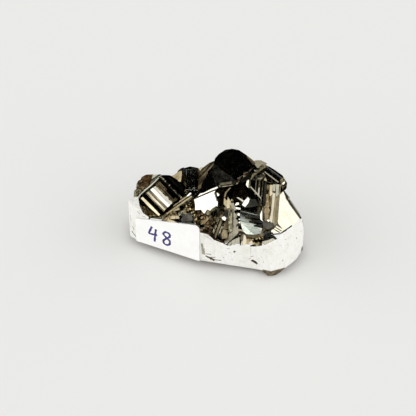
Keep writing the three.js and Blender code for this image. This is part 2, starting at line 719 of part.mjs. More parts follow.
// The mass under the crystals, round the ground side: [x, y, height there, height of its shoulder]
const rim = [
  [-28.9, 0, 14.4, 14.6], [-28.7, -2.8, 16.4, 14.6], [-26.9, -4.6, 17.2, 13.6],
  [-25.8, -5.1, 15.9, 13.5], [-24.8, -5.6, 14.3, 13.4], [-23.5, -6.2, 13.6, 13.3],
  [-21.2, -7.3, 13.4, 13.3], [-15.7, -9.9, 13.4, 13.2], [-10, -12.6, 14, 13],
  [-5.1, -14.9, 14.8, 12.8], [-2.5, -15.4, 14.4, 12.2], [-0.6, -15.8, 12.2, 11.8],
  [2, -16.3, 11.3, 11.8], [4, -16.7, 10.2, 12], [7.5, -17.2, 10.6, 12], [11, -17.8, 11.2, 12],
  [13, -18, 11.3, 11.2], [15.1, -19.4, 13.2, 11.2], [18.3, -18.5, 14.2, 11.8],
  [20.5, -17.5, 15.4, 12.6], [22.2, -15.6, 15.8, 13.8], [23.9, -13.7, 15.9, 14],
  [25.3, -12.1, 15.8, 14], [27.4, -9.8, 16, 14], [28.6, -4, 10.2, 13.4], [27, 3, 7.2, 12.6],
  [23.4, 10.4, 8.6, 12.4], [17.5, 16.2, 8.2, 12.4], [9.2, 19.7, 8, 13], [1, 20.4, 7.6, 13.2],
  [-7, 18.2, 7.2, 12.8], [-14, 15.4, 7, 11.6], [-20.5, 13.8, 6.8, 12.4], [-26, 9.6, 7.5, 13],
  [-28.6, 5, 10, 13.8],
];
// How far out each ring of the mass lies, from the foot inward, and its height in the middle
const footRing = 1.14;
const rimRing = 1.02;
const shoulderRing = 0.74;
const innerRing = 0.4;
const crown = 16.4;

// A closed solid from a three.js geometry
function solidFrom(geometry) {
  const bare = geometry.clone();
  bare.deleteAttribute('normal');
  bare.deleteAttribute('uv');
  const merged = mergeVertices(bare, 1e-4);
  const mesh = new wasm.Mesh({
    numProp: 3,
    vertProperties: new Float32Array(merged.attributes.position.array),
    triVerts: new Uint32Array(merged.index.array),
  });
  return new wasm.Manifold(mesh);
}

// A three.js geometry, with flat faces, from a closed solid
function geometryFrom(solid) {
  const mesh = solid.getMesh();
  const geometry = new THREE.BufferGeometry();
  geometry.setAttribute('position', new THREE.BufferAttribute(mesh.vertProperties, 3));
  geometry.setIndex(new THREE.BufferAttribute(mesh.triVerts, 1));
  const flat = geometry.toNonIndexed();
  flat.computeVertexNormals();
  return flat;
}

// The outward direction of a plane that is turned from the front and rises above the level
function facing(turn, rise) {
  const t = THREE.MathUtils.degToRad(turn);
  const r = THREE.MathUtils.degToRad(rise);
  return new THREE.Vector3(Math.sin(t) * Math.cos(r), -Math.cos(t) * Math.cos(r), Math.sin(r));
}

// The level line of such a plane, and the line up its slope
function facetLines(turn, rise) {
  const t = THREE.MathUtils.degToRad(turn);
  const level = new THREE.Vector3(Math.cos(t), Math.sin(t), 0);
  return [level, new THREE.Vector3().crossVectors(facing(turn, rise), level)];
}

// All that lies beyond a plane, to be cut away
function beyond(point, turn, rise) {
  const normal = facing(turn, rise);
  const [level, up] = facetLines(turn, rise);
  const middle = point.clone().addScaledVector(normal, cutterSize / 2);
  const place = new THREE.Matrix4().makeBasis(level, up, normal).setPosition(middle);
  return solidFrom(new THREE.BoxGeometry(cutterSize, cutterSize, cutterSize).applyMatrix4(place));
}

// A prism on an outline, given in millimetres along right and up, from back to front
function prism(points, origin, right, up, back, front) {
  const shape = new THREE.Shape(points.map(([x, y]) => new THREE.Vector2(x, y)));
  const geometry = new THREE.ExtrudeGeometry(shape, { depth: front - back, bevelEnabled: false });
  const out = new THREE.Vector3().crossVectors(right, up);
  const place = new THREE.Matrix4().makeBasis(right, up, out);
  place.setPosition(origin.clone().addScaledVector(out, back));
  return solidFrom(geometry.applyMatrix4(place));
}

// The block under a flight of growth ledges on a facet
function ledgedBlock(at, { facet, run, start, steps }) {
  const [turn, rise, out] = facet;
  const normal = facing(turn, rise);
  const [level, up] = facetLines(turn, rise);
  const angle = THREE.MathUtils.degToRad(run);
  const along = level.multiplyScalar(Math.cos(angle)).addScaledVector(up, Math.sin(angle));
  const across = new THREE.Vector3().crossVectors(along, normal);
  const path = [[start, 0]];
  steps.forEach(([slope, width]) => {
    const tilt = THREE.MathUtils.degToRad(slope);
    const [s, h] = path[path.length - 1];
    path.push([s + width * Math.cos(tilt), h - width * Math.sin(tilt)]);
  });
  const top = Math.max(...path.map(([, h]) => h));
  const lifted = path.map(([s, h]) => [s, h - top]);
  const deep = cutterSize / 2;
  const leftEnd = [-deep, lifted[0][1]];
  const rightEnd = [deep, lifted[lifted.length - 1][1]];
  const points = [[-deep, -deep], [deep, -deep], rightEnd, ...lifted.reverse(), leftEnd];
  return prism(points, at.clone().addScaledVector(normal, out), across, normal, -deep, deep);
}

// A drawn outline carried back from one distance to another, smaller behind and larger in front
function taperedPrism(outline, back, front, narrowing) {
  const shape = new THREE.Shape(outline.map(([x, y]) => new THREE.Vector2(x, y)));
  const geometry = new THREE.ExtrudeGeometry(shape, { depth: front - back, bevelEnabled: false });
  const position = geometry.attributes.position;
  const [midX, midY] = [0, 1].map((k) => outline.reduce((sum, p) => sum + p[k], 0) / outline.length);
  for (let i = 0; i < position.count; i += 1) {
    const size = position.getZ(i) > 0 ? 1 + narrowing : 1 - narrowing;
    const x = midX + (position.getX(i) - midX) * size;
    const y = midY + (position.getY(i) - midY) * size;
    position.setXY(i, x, y);
  }
  const place = new THREE.Matrix4().makeBasis(drawRight, drawUp, drawOut);
  place.setPosition(drawOut.clone().multiplyScalar(back));
  return solidFrom(geometry.applyMatrix4(place));
}

// One crystal: its drawn outline carried back into the mass, cut by its facets and ledges
function crystal({ at, outline, facets, ledges, depth }, index) {
  const middle = new THREE.Vector3(...at);
  const near = middle.dot(drawOut);
  const narrowing = leastNarrowing + moreNarrowing * (index % narrowingRound);
  let solid = taperedPrism(outline, near - depth, near + depth, narrowing);
  facets.forEach(([turn, rise, out]) => {
    solid = solid.subtract(beyond(middle.clone().addScaledVector(facing(turn, rise), out), turn, rise));
  });
  return ledges ? solid.intersect(ledgedBlock(middle, ledges)) : solid;
}

// The corners of the body that a set of planes encloses, each plane a direction and a distance
function cornersBetween(planes) {
  const corners = [];
  const inside = (p) => planes.every(([n, d]) => n.dot(p) <= d + 1e-6);
  for (let i = 0; i < planes.length; i += 1) {
    for (let j = i + 1; j < planes.length; j += 1) {
      for (let k = j + 1; k < planes.length; k += 1) {
        const [a, b, c] = [planes[i][0], planes[j][0], planes[k][0]];
        const bc = new THREE.Vector3().crossVectors(b, c);
        const volume = a.dot(bc);
        if (Math.abs(volume) > 1e-6) {
          const p = bc.multiplyScalar(planes[i][1])
            .addScaledVector(new THREE.Vector3().crossVectors(c, a), planes[j][1])
            .addScaledVector(new THREE.Vector3().crossVectors(a, b), planes[k][1])
            .divideScalar(volume);
          if (inside(p) && !corners.some((q) => q.distanceTo(p) < 1e-4)) corners.push(p);
        }
      }
    }
  }
  return corners;
}

// The body of a blocky crystal of half size 1: a cube whose edges have the slant faces of pyrite
function blockCorners() {
  const planes = [];
  const slant = Math.atan2(1, 2);
  for (let axis = 0; axis < 3; axis += 1) {
    [1, -1].forEach((side) => {
      const face = new THREE.Vector3().setComponent(axis, side);
      planes.push([face, 1]);
      [1, -1].forEach((lean) => {
        const n = new THREE.Vector3();
        n.setComponent(axis, side * Math.cos(slant));
        n.setComponent((axis + 1) % 3, lean * Math.sin(slant));
        planes.push([n, blockBevel]);
      });
    });
  }
  return cornersBetween(planes);
}

const unitBlock = blockCorners();

// One blocky crystal in its place
function block({ at, size, turns }) {
  const [x, y, z] = turns.map((a) => THREE.MathUtils.degToRad(a));
  const turn = new THREE.Euler(x, y, z);
  const place = new THREE.Vector3(...at);
  const corners = unitBlock.map((p) => p.clone().multiplyScalar(size).applyEuler(turn).add(place));
  return solidFrom(new ConvexGeometry(corners));
}

// The mass that the crystals have grown from, built up in rings over a flat foot
function mass() {
  const count = rim.length;
  const rings = [
    rim.map(([x, y]) => [x * footRing, y * footRing, 0]),
    rim.map(([x, y, height]) => [x * rimRing, y * rimRing, height]),
    rim.map(([x, y, , shoulder]) => [x * shoulderRing, y * shoulderRing, shoulder]),
    rim.map(([x, y, , shoulder]) => [x * innerRing, y * innerRing, (shoulder + crown) / 2]),
  ];
  const points = [...rings.flat(), [0, 0, 0], [0, 0, crown]];
  const footMiddle = rings.length * count;
  const crownMiddle = footMiddle + 1;
  const innermost = (rings.length - 1) * count;
  const faces = [];
  for (let i = 0; i < count; i += 1) {
    const next = (i + 1) % count;
    faces.push([next, i, footMiddle], [innermost + i, innermost + next, crownMiddle]);
    for (let ring = 0; ring < innermost; ring += count) {
      faces.push([ring + i, ring + next, ring + next + count]);
      faces.push([ring + i, ring + next + count, ring + i + count]);
    }
  }
  const geometry = new THREE.BufferGeometry();
  geometry.setAttribute('position', new THREE.Float32BufferAttribute(points.flat(), 3));
  geometry.setIndex(faces.flat());
  return solidFrom(geometry);
}

// The outline of the ground side, drawn in by a distance
function insetRing(distance, z) {
  const count = sideOutline.length;
  return sideOutline.map(([x, y], i) => {
    const [px, py] = sideOutline[(i + count - 1) % count];
    const [nx, ny] = sideOutline[(i + 1) % count];
    const inward = new THREE.Vector2(py - ny, nx - px).normalize().multiplyScalar(distance);
    return new THREE.Vector3(x + inward.x, y + inward.y, z);
  });
}

// The space inside the ground side, drawn in below its lower edge
function insideSide() {
  const origin = new THREE.Vector3();
  const right = new THREE.Vector3(1, 0, 0);
  const back = new THREE.Vector3(0, 1, 0);
  const wall = prism(sideOutline, origin, right, back, 0, sideTop);
  const foot = new ConvexGeometry([
    ...insetRing(footInset, 0), ...insetRing(0, lowerEdge), ...insetRing(0, sideTop),
  ]);
  const lump = new ConvexGeometry(footLump.map(([x, y, z]) => new THREE.Vector3(x, y, z)));
  let space = wall.intersect(solidFrom(foot)).add(solidFrom(lump));
  sideSlopes.forEach(({ turn, rise, at }) => {
    space = space.subtract(beyond(new THREE.Vector3(...at), turn, rise));
  });
  return space;
}

// A small break in the ground side
function chip({ at, size, turn }) {
  const geometry = new THREE.BoxGeometry(...size);
  const lean = new THREE.Euler(chipLean[0], chipLean[1], THREE.MathUtils.degToRad(turn));
  const place = new THREE.Matrix4().makeRotationFromEuler(lean).setPosition(...at);
  return solidFrom(geometry.applyMatrix4(place));
}

// The cluster: mass, crystals and blocks grown together, then ground flat round the side
function cluster() {
  const grown = [mass(), ...Object.values(crystals).map(crystal), ...blocks.map(block)];
  let solid = grown.reduce((whole, piece) => whole.add(piece));
  solid = solid.intersect(insideSide());
  chips.forEach((spec) => {
    solid = solid.subtract(chip(spec));
  });
  return solid;
}

// The paper label: a thin sheet along the front left of the ground side, its top cut askew
function label() {
  const along = new THREE.Vector3(labelTo[0] - labelFrom[0], labelTo[1] - labelFrom[1], 0);
  const length = along.length();
  along.normalize();
  const up = new THREE.Vector3(0, 0, 1);
  const out = new THREE.Vector3().crossVectors(along, up);
  const origin = new THREE.Vector3(...labelFrom, 0).addScaledVector(out, labelGap);
  const shape = new THREE.Shape();
  const rise = (labelTopRight - labelTopLeft) / length;
  shape.moveTo(0, labelBottom);
  shape.lineTo(length, labelBottom);
  shape.lineTo(length, labelTopRight - labelCorner);
  shape.quadraticCurveTo(length, labelTopRight, length - labelCorner, labelTopRight - labelCorner * rise);
  shape.lineTo(0, labelTopLeft);
  const geometry = new THREE.ExtrudeGeometry(shape, {
    depth: labelThickness, bevelEnabled: false, curveSegments: 4,
  });
  const place = new THREE.Matrix4().makeBasis(along, up, out).setPosition(origin);
  return geometry.applyMatrix4(place);
}

const pyrite = new THREE.MeshStandardMaterial({ color: 0xcfc6a8, roughness: 0.12, metalness: 1 });
const paper = new THREE.MeshStandardMaterial({ color: 0xeceae8, roughness: 0.7, metalness: 0 });

const specimen = new THREE.Group();
const clusterMesh = new THREE.Mesh(geometryFrom(cluster()), pyrite);
clusterMesh.name = 'pyrite_cluster';
const labelMesh = new THREE.Mesh(label(), paper);
labelMesh.name = 'label';
specimen.add(clusterMesh, labelMesh);

export default specimen;
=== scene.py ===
import math
import random
from itertools import combinations

import bmesh
import bpy
from mathutils import Euler, Matrix, Vector


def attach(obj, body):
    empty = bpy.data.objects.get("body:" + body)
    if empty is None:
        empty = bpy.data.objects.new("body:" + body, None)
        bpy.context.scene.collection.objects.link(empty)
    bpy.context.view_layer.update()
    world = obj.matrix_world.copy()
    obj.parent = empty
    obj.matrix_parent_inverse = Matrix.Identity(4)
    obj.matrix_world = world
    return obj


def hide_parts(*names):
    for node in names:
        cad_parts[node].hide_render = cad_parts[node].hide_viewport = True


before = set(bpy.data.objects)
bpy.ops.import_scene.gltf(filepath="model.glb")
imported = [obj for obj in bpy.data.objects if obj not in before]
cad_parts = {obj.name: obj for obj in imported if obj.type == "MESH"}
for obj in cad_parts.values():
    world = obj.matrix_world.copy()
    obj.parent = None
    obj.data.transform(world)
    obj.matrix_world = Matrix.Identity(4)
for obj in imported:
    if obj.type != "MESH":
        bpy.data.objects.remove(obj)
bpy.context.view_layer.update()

MM = 0.001

# Crystals are drawn as they are looked at, from the front and this far above the level
LOOKING_DOWN = math.radians(40)
DRAW_RIGHT = Vector((1, 0, 0))
DRAW_UP = Vector((0, math.sin(LOOKING_DOWN), math.cos(LOOKING_DOWN)))
DRAW_OUT = Vector((0, -math.cos(LOOKING_DOWN), math.sin(LOOKING_DOWN)))

# The ground side, as seen from above, counterclockwise from the left end
SIDE_OUTLINE = [
    (-28.9, 0), (-28.7, -2.8), (-26.2, -4.9), (-5.1, -14.9), (3, -16.5), (11.2, -17.8),
    (13.2, -18), (15.2, -19.5), (18, -20.4), (22.8, -18.6), (26.4, -14.6), (28.9, -9.9),
    (28.6, -4), (27, 3), (23.4, 10.4), (17.5, 16.2), (9.5, 19.6), (1, 20.4), (-7, 18.2),
    (-14, 15.4), (-20.5, 13.8), (-26, 9.6), (-28.6, 5),
]
SIDE_TOP = 32
# Below this height the ground side ends in broken stone, drawn in by the inset at its foot
LOWER_EDGE = 2.5
FOOT_INSET = 3
# The broken lump of a foot at the front right, by its corners
FOOT_LUMP = [
    (13.6, -18.2, 2.7), (15.2, -19.5, 2.7), (18, -20.4, 2.7), (22.8, -18.6, 2.7), (16.4, -19.9, 0.8),
    (18.3, -20.4, 0.7), (21, -19, 0.9), (17, -19.7, 0), (19.6, -19.4, 0), (20.4, -12.2, 0),
    (15.7, -12.4, 0), (21, -13, 2.7), (15, -13, 2.7),
]
# Planes that lean in above a point of the ground side: the turn, the rise and the point
SIDE_SLOPES = [
    (72, 9, (28.9, -9.9, 9.5)),
    (48, 11, (24.6, -16.6, 3.2)),
    (20, 8, (20.4, -19.5, 3.2)),
]
# Broken chips: the middle, the size and the turn of each, and the two ways that all are tipped
CHIPS = [
    ((12.6, -18.1, 4.6), (2.2, 1.2, 0.9), 20),
    ((-1.9, -15.9, 4.0), (3.4, 1.0, 0.8), -8),
    ((28.9, -10.4, 3.4), (1.4, 1.2, 2.0), 50),
    ((6.0, -17.3, 8.2), (0.9, 0.8, 0.9), 35),
]
CHIP_TIPS = (0.4, 0.5)

# The label, from its left foot to its right foot, with a round top right corner
LABEL_FROM = (-26.2, -4.9)
LABEL_TO = (-5.1, -14.9)
LABEL_BOTTOM = 2.6
LABEL_TOP_LEFT = 12.4
LABEL_TOP_RIGHT = 17.7
LABEL_CORNER = 1.8
# How far the label stands off the ground side, and how far its front and its back lie from there
LABEL_GAP = 0.3
LABEL_THICKNESS = 0.3
LABEL_BACK = -0.1
# Its paper lifts at both ends, sharply at the last, and in two crossing waves, each by how fast it
# runs along the label and up
LIFT_AT_ENDS = 0.06
LIFT_SHARPNESS = 8
LIFT_OF_WAVES = 0.03
PAPER_WAVES = ((0.55, 0.3), (-0.2, 0.5))
# Its mesh: columns and rows, and how much the columns crowd towards the round corner
LABEL_COLUMNS, LABEL_ROWS = 72, 36
LABEL_CROWDING = 1.3

# The written number: pen strokes laid on the paper, given along the label and up
NUMBER_STROKES = [
    [(6.1, 11.2), (5.5, 9.6), (5.0, 8.0), (6.3, 7.9), (8.0, 8.1)],
    [(7.6, 10.6), (7.3, 8.6), (7.0, 6.0), (6.9, 4.9)],
    [
        (12.6, 10.4), (11.2, 10.7), (10.3, 9.6), (11.3, 8.4), (12.6, 7.2), (12.3, 5.6), (10.9, 5.2),
        (10.2, 6.3), (11.0, 7.6), (12.4, 8.9), (12.7, 9.8), (12.4, 10.5),
    ],
]
PEN_WIDTH = 0.86
INK_HEIGHT = 0.03
# A stroke's steps from point to point, and the corners round it
PEN_STEPS = 14
PEN_SIDES = 8
# Its share of the full width at its very ends and the steps in which that grows by a whole width,
# its usual share between them, and how much and how often that swells
END_SHARE, END_STEPS = 0.35, 3
USUAL_SHARE, SWELL, SWELL_RATE = 0.9, 0.12, 0.5

# How much a crystal narrows from front to back: each one a little differently
LEAST_NARROWING = 0.04
MORE_NARROWING = 0.0061
NARROWING_ROUND = 7
# A wall that looks further back than this share is a back wall
BACKWARD = 0.5
# A face whose direction rises or falls less than this share is upright
UPRIGHT = 0.1
# The size of the blocks that cut the stone
CUTTER = 90
# Three planes of a blocky crystal with a smaller product than this meet in no corner, a corner may
# lie this far outside another plane, and two that are nearer than this are one
NO_CORNER, TOUCHING, SAME_CORNER = 1e-6, 1e-5, 1e-4
# Growth lines of a facet: their run and how much more each next facet turns it, in degrees,
# their unevenness, their width, and how far they reach across the facet
LINE_RUN, NEXT_RUN = 80, 25
LINE_UNEVENNESS = 1.2
LINE_WIDTH = 0.7
LINE_REACH = 30
# Every crystal has this many seeds for its uneven lines
SEEDS_EACH = 10
# A ledge is broken into parts: their width and unevenness where a flight gives none, the least
# and the most that a part takes of that width, and what is too small to be a part
LEDGE_WIDTH, LEDGE_UNEVENNESS = 0.4, 3
LEAST_SHARE, MOST_SHARE = 0.4, 1.7
SMALLEST_PART = 0.05
# A ledge that slopes back more steeply than this is the riser of the next one
STEEPEST_LEDGE = -57


# What the finishes share: the tint of tarnish, how far edges are rounded, the grains, fine lines and
# bands to a millimetre, how quickly lines change along their run, and where a crystal's tints lie
TARNISH = (0.30, 0.24, 0.15, 1)
EDGE_ROUNDING = 0.08
GRAINS_PER_MM = 1.6
LINES_PER_MM, BANDS_PER_MM = 5.0, 2.4
CHANGE_ALONG = 0.25
TINT_PLACES = (0.3, 0.5, 0.72)


# A node in a tree, with its settings, and its sockets filled or joined
def node(tree, kind, inputs=None, **settings):
    made = tree.nodes.new(kind)
    for name, value in settings.items():
        setattr(made, name, value)
    for name, value in (inputs or {}).items():
        if isinstance(value, bpy.types.NodeSocket):
            tree.links.new(value, made.inputs[name])
        else:
            made.inputs[name].default_value = value
    return made


# A step of arithmetic on numbers
def number_step(tree, operation, *values):
    return node(tree, "ShaderNodeMath", dict(enumerate(values)), operation=operation).outputs[0]


# A step of arithmetic on vectors
def vector_step(tree, operation, inputs):
    made = node(tree, "ShaderNodeVectorMath", inputs, operation=operation)
    return made.outputs["Value" if operation == "DOT_PRODUCT" else "Vector"]


# A colour ramp between two or more colours, each (place, (r, g, b))
def ramp(tree, factor, stops):
    made = node(tree, "ShaderNodeValToRGB", {"Fac": factor})
    elements = made.color_ramp.elements
    while len(elements) < len(stops):
        elements.new(0.5)
    for element, (place, colour) in zip(elements, stops):
        element.position = place
        element.color = (*colour, 1)
    return made.outputs["Color"]


# A value brought from one range into another
def ranged(tree, value, low, high, to_low, to_high):
    made = node(tree, "ShaderNodeMapRange", {
        "Value": value, "From Min": low, "From Max": high, "To Min": to_low, "To Max": to_high,
    })
    return made.outputs["Result"]


# A cloudy pattern between 0 and 1
def cloud(tree, vector, scale, detail=2.0, roughness=0.5):
    made = node(tree, "ShaderNodeTexNoise", {
        "Vector": vector, "Scale": scale, "Detail": detail, "Roughness": roughness,
    })
    return made.outputs["Fac"]


# Fine relief on a surface, up to a depth in millimetres, and on top of other relief
def relief(tree, height, depth, under=None):
    sockets = {"Height": height, "Distance": depth * MM, "Strength": 1.0}
    if under is not None:
        sockets["Normal"] = under
    return node(tree, "ShaderNodeBump", sockets).outputs[0]


# An empty material with its tree, and the place on a piece in millimetres
def new_finish(name):
    made = bpy.data.materials.new(name)
    made.use_nodes = True
    tree = made.node_tree
    tree.nodes.clear()
    place = node(tree, "ShaderNodeTexCoord").outputs["Object"]
    return made, tree, vector_step(tree, "SCALE", {0: place, "Scale": 1 / MM})


# The surface that a material's tree ends in
def end_in_surface(tree, sockets):
    surface = node(tree, "ShaderNodeBsdfPrincipled", sockets)
    node(tree, "ShaderNodeOutputMaterial", {"Surface": surface.outputs["BSDF"]})


# A place drawn out along the growth lines of a face: its grain says which way the lines follow
# one another, and density how many of them there are to a millimetre
def lined_place(tree, place, density):
    grain = node(tree, "ShaderNodeAttribute", attribute_name="grain").outputs["Vector"]
    across = vector_step(tree, "DOT_PRODUCT", {0: place, 1: grain})
    pushed = vector_step(tree, "SCALE", {0: grain, "Scale": number_step(tree, "MULTIPLY", across, density)})
    slow = vector_step(tree, "SCALE", {0: place, "Scale": CHANGE_ALONG})
    return vector_step(tree, "ADD", {0: pushed, 1: slow})


# A surface direction that leans a little differently on each small grain of the stone
def with_grains(tree, place, direction, lean):
    if not lean:
        return direction
    grains = node(tree, "ShaderNodeTexVoronoi", {"Vector": place, "Scale": GRAINS_PER_MM}).outputs["Color"]
    aside = vector_step(tree, "SUBTRACT", {0: grains, 1: (0.5, 0.5, 0.5)})
    leaning = vector_step(tree, "SCALE", {0: aside, "Scale": lean})
    both = vector_step(tree, "ADD", {0: direction, 1: leaning})
    return vector_step(tree, "NORMALIZE", {0: both})


# Metallic crystal faces: colour drifts between tints, with tarnish along the growth lines, slightly
# rounded edges, fine lines and a slight waviness
def crystal_finish(name, tints, rough, lines, waves, tarnish=0.5, spread=0.22, grainy=0):
    made, tree, place = new_finish(name)
    fine_lines = cloud(tree, lined_place(tree, place, LINES_PER_MM), 1.0, 3.0, 0.6)
    bands = cloud(tree, lined_place(tree, place, BANDS_PER_MM), 1.0, 4.0, 0.7)
    clean = ramp(tree, cloud(tree, place, spread, 3.0), list(zip(TINT_PLACES, tints)))
    tarnished = ranged(tree, bands, 0.48, 0.64, 0, tarnish)
    tint = node(tree, "ShaderNodeMix", {
        "Factor": tarnished, 6: clean, 7: TARNISH,
    }, data_type="RGBA", blend_type="MULTIPLY").outputs[2]
    edges = node(tree, "ShaderNodeBevel", {"Radius": EDGE_ROUNDING * MM}, samples=4).outputs[0]
    wavy = relief(tree, cloud(tree, place, 0.3, 1.0), waves, edges)
    lined = relief(tree, fine_lines, lines, wavy)
    end_in_surface(tree, {
        "Base Color": tint, "Metallic": 1, "Normal": with_grains(tree, place, lined, grainy),
        "Roughness": ranged(tree, cloud(tree, place, 0.8, 4.0), 0.35, 0.7, *rough),
    })
    return made


# The mass between the crystals: dark brown, rough, with fine metallic grains
def mass_finish():
    made, tree, place = new_finish("mass_between")
    grains = node(tree, "ShaderNodeTexVoronoi", {"Vector": place, "Scale": GRAINS_PER_MM})
    end_in_surface(tree, {
        "Base Color": ramp(tree, cloud(tree, place, 0.7, 4.0), [
            (0.3, (0.10, 0.065, 0.03)), (0.5, (0.30, 0.22, 0.11)), (0.72, (0.52, 0.45, 0.30)),
        ]),
        "Metallic": 1,
        "Roughness": ranged(tree, cloud(tree, place, 1.3, 3.0), 0.3, 0.7, 0.18, 0.5),
        "Normal": relief(tree, grains.outputs["Distance"], 0.12),
    })
    return made


# The ground side: satin pale metal with fine upright scratches, streaks, blotches and brown specks
def ground_finish():
    made, tree, place = new_finish("ground_side")
    drawn = node(tree, "ShaderNodeMapping", {"Vector": place, "Scale": (4.0, 4.0, 0.35)}).outputs["Vector"]
    scratches = cloud(tree, drawn, 1.0, 4.0, 0.7)
    specks = node(tree, "ShaderNodeTexVoronoi", {"Vector": place, "Scale": 0.55, "Randomness": 1.0})
    speck = ranged(tree, specks.outputs["Distance"], 0.05, 0.14, 1.0, 0.0)
    patch = ranged(tree, cloud(tree, place, 0.35, 2.0), 0.5, 0.62, 0.0, 1.0)
    speckled = number_step(tree, "MULTIPLY", speck, patch)
    streaks = ranged(tree, cloud(tree, drawn, 0.45, 5.0, 0.75), 0.5, 0.66, 0.0, 0.34)
    blotches = ranged(tree, cloud(tree, place, 0.9, 6.0, 0.8), 0.52, 0.70, 0.0, 0.55)
    worn = ramp(tree, cloud(tree, place, 0.16, 5.0, 0.6), [
        (0.3, (0.80, 0.79, 0.71)), (0.42, (0.93, 0.92, 0.87)), (0.7, (0.98, 0.975, 0.95)),
    ])
    for share, colour in (
        (streaks, (0.72, 0.71, 0.64, 1)), (blotches, (0.62, 0.60, 0.51, 1)),
        (speckled, (0.25, 0.18, 0.10, 1)),
    ):
        worn = node(tree, "ShaderNodeMix", {"Factor": share, 6: worn, 7: colour}, data_type="RGBA").outputs[2]
    end_in_surface(tree, {
        "Base Color": worn, "Metallic": 0.3, "Roughness": ranged(tree, scratches, 0.3, 0.7, 0.34, 0.5),
        "Normal": relief(tree, number_step(tree, "SUBTRACT", scratches, speckled), 0.05),
    })
    return made


# The broken underside and foot: dull brown stone
def underside_finish():
    made, tree, place = new_finish("underside")
    end_in_surface(tree, {
        "Base Color": ramp(tree, cloud(tree, place, 0.8, 5.0, 0.65), [
            (0.3, (0.05, 0.035, 0.02)), (0.55, (0.20, 0.15, 0.09)), (0.75, (0.42, 0.36, 0.26)),
        ]),
        "Metallic": 0.4,
        "Roughness": ranged(tree, cloud(tree, place, 1.5, 3.0), 0.3, 0.7, 0.4, 0.75),
        "Normal": relief(tree, cloud(tree, place, 1.8, 5.0, 0.7), 0.25),
    })
    return made


# The label's paper: nearly white, with fine fibres
def paper_finish():
    made, tree, place = new_finish("label_paper")
    fibres = cloud(tree, place, 7.0, 4.0, 0.7)
    end_in_surface(tree, {
        "Base Color": ramp(tree, cloud(tree, place, 0.5, 4.0), [
            (0.3, (0.92, 0.915, 0.90)), (0.7, (0.96, 0.955, 0.94)),
        ]),
        "Roughness": ranged(tree, fibres, 0.3, 0.7, 0.7, 0.9),
        "Normal": relief(tree, fibres, 0.02),
    })
    return made


# Violet ink, a little thinner in places
def ink_finish():
    made, tree, place = new_finish("violet_ink")
    end_in_surface(tree, {
        "Base Color": ramp(tree, cloud(tree, place, 1.5, 3.0), [
            (0.3, (0.022, 0.012, 0.13)), (0.7, (0.06, 0.035, 0.24)),
        ]),
        "Roughness": ranged(tree, cloud(tree, place, 6.0, 2.0), 0.3, 0.7, 0.5, 0.8),
    })
    return made


# The stone's finishes, in the order of their materials; the dark brown and the near-black ones are painted
# shade
(
    BRIGHT, BRASSY, GOLD, BROWN, RUST, GREEN, OLIVE, MASS, GROUND, UNDERSIDE, BROWN_PAINTED_SHADE, BLACK_PAINTED_SHADE, PALE,
    BRONZE, PEWTER,
) = range(15)
# The finishes that walls facing back take in turn; all other walls take the dark brown painted shade
BACK_WALLS = [BRONZE, PEWTER, OLIVE, BRONZE, BRASSY]
stone_finishes = [
    crystal_finish(
        "bright_pyrite", [(0.80, 0.78, 0.68), (0.88, 0.85, 0.74), (0.86, 0.80, 0.64)],
        rough=(0.05, 0.13), lines=0.006, waves=0.05, tarnish=0.3,
    ),
    crystal_finish(
        "brassy_pyrite", [(0.36, 0.31, 0.19), (0.58, 0.51, 0.34), (0.74, 0.68, 0.50)],
        rough=(0.10, 0.25), lines=0.015, waves=0.08, tarnish=0.3,
    ),
    crystal_finish(
        "golden_pyrite", [(0.20, 0.15, 0.06), (0.48, 0.39, 0.20), (0.80, 0.70, 0.46)],
        rough=(0.10, 0.25), lines=0.02, waves=0.12, spread=0.8, grainy=0.7,
    ),
    crystal_finish(
        "brown_pyrite", [(0.07, 0.045, 0.02), (0.24, 0.17, 0.09), (0.55, 0.47, 0.32)],
        rough=(0.14, 0.35), lines=0.02, waves=0.1, spread=0.8, grainy=0.7,
    ),
    crystal_finish(
        "rusty_pyrite", [(0.09, 0.05, 0.02), (0.19, 0.11, 0.045), (0.38, 0.27, 0.15)],
        rough=(0.3, 0.5), lines=0.03, waves=0.1, spread=0.6, grainy=0.4,
    ),
    crystal_finish(
        "greenish_pyrite", [(0.55, 0.60, 0.52), (0.68, 0.74, 0.66), (0.80, 0.82, 0.70)],
        rough=(0.10, 0.22), lines=0.01, waves=0.06,
    ),
    crystal_finish(
        "olive_pyrite", [(0.11, 0.10, 0.06), (0.28, 0.26, 0.17), (0.50, 0.47, 0.34)],
        rough=(0.12, 0.28), lines=0.02, waves=0.1, spread=0.6, grainy=0.35,
    ),
    mass_finish(),
    ground_finish(),
    underside_finish(),
    # Dark brown tint: painted shade, on the walls between crystals and on faces in hollows and dark places
    crystal_finish(
        "weathered_sides", [(0.02, 0.015, 0.008), (0.09, 0.07, 0.04), (0.30, 0.25, 0.16)],
        rough=(0.15, 0.35), lines=0.02, waves=0.1,
    ),
    # Near-black tint: painted shade and painted dark reflection, on dark ledges, teeth, lines, marks and
    # slivers
    crystal_finish(
        "near_black_painted_shade", [(0.012, 0.012, 0.010), (0.03, 0.03, 0.025), (0.09, 0.085, 0.07)],
        rough=(0.12, 0.25), lines=0.01, waves=0.05,
    ),
    crystal_finish(
        "dull_pale_sides", [(0.50, 0.47, 0.38), (0.62, 0.59, 0.49), (0.72, 0.68, 0.56)],
        rough=(0.45, 0.6), lines=0.02, waves=0.1,
    ),
    crystal_finish(
        "bronze_pyrite", [(0.10, 0.075, 0.04), (0.27, 0.21, 0.12), (0.60, 0.52, 0.36)],
        rough=(0.12, 0.3), lines=0.03, waves=0.1, tarnish=0.75,
    ),
    crystal_finish(
        "pewter_pyrite", [(0.26, 0.25, 0.20), (0.34, 0.325, 0.26), (0.42, 0.40, 0.32)],
        rough=(0.08, 0.2), lines=0.01, waves=0.08, tarnish=0.4,
    ),
]


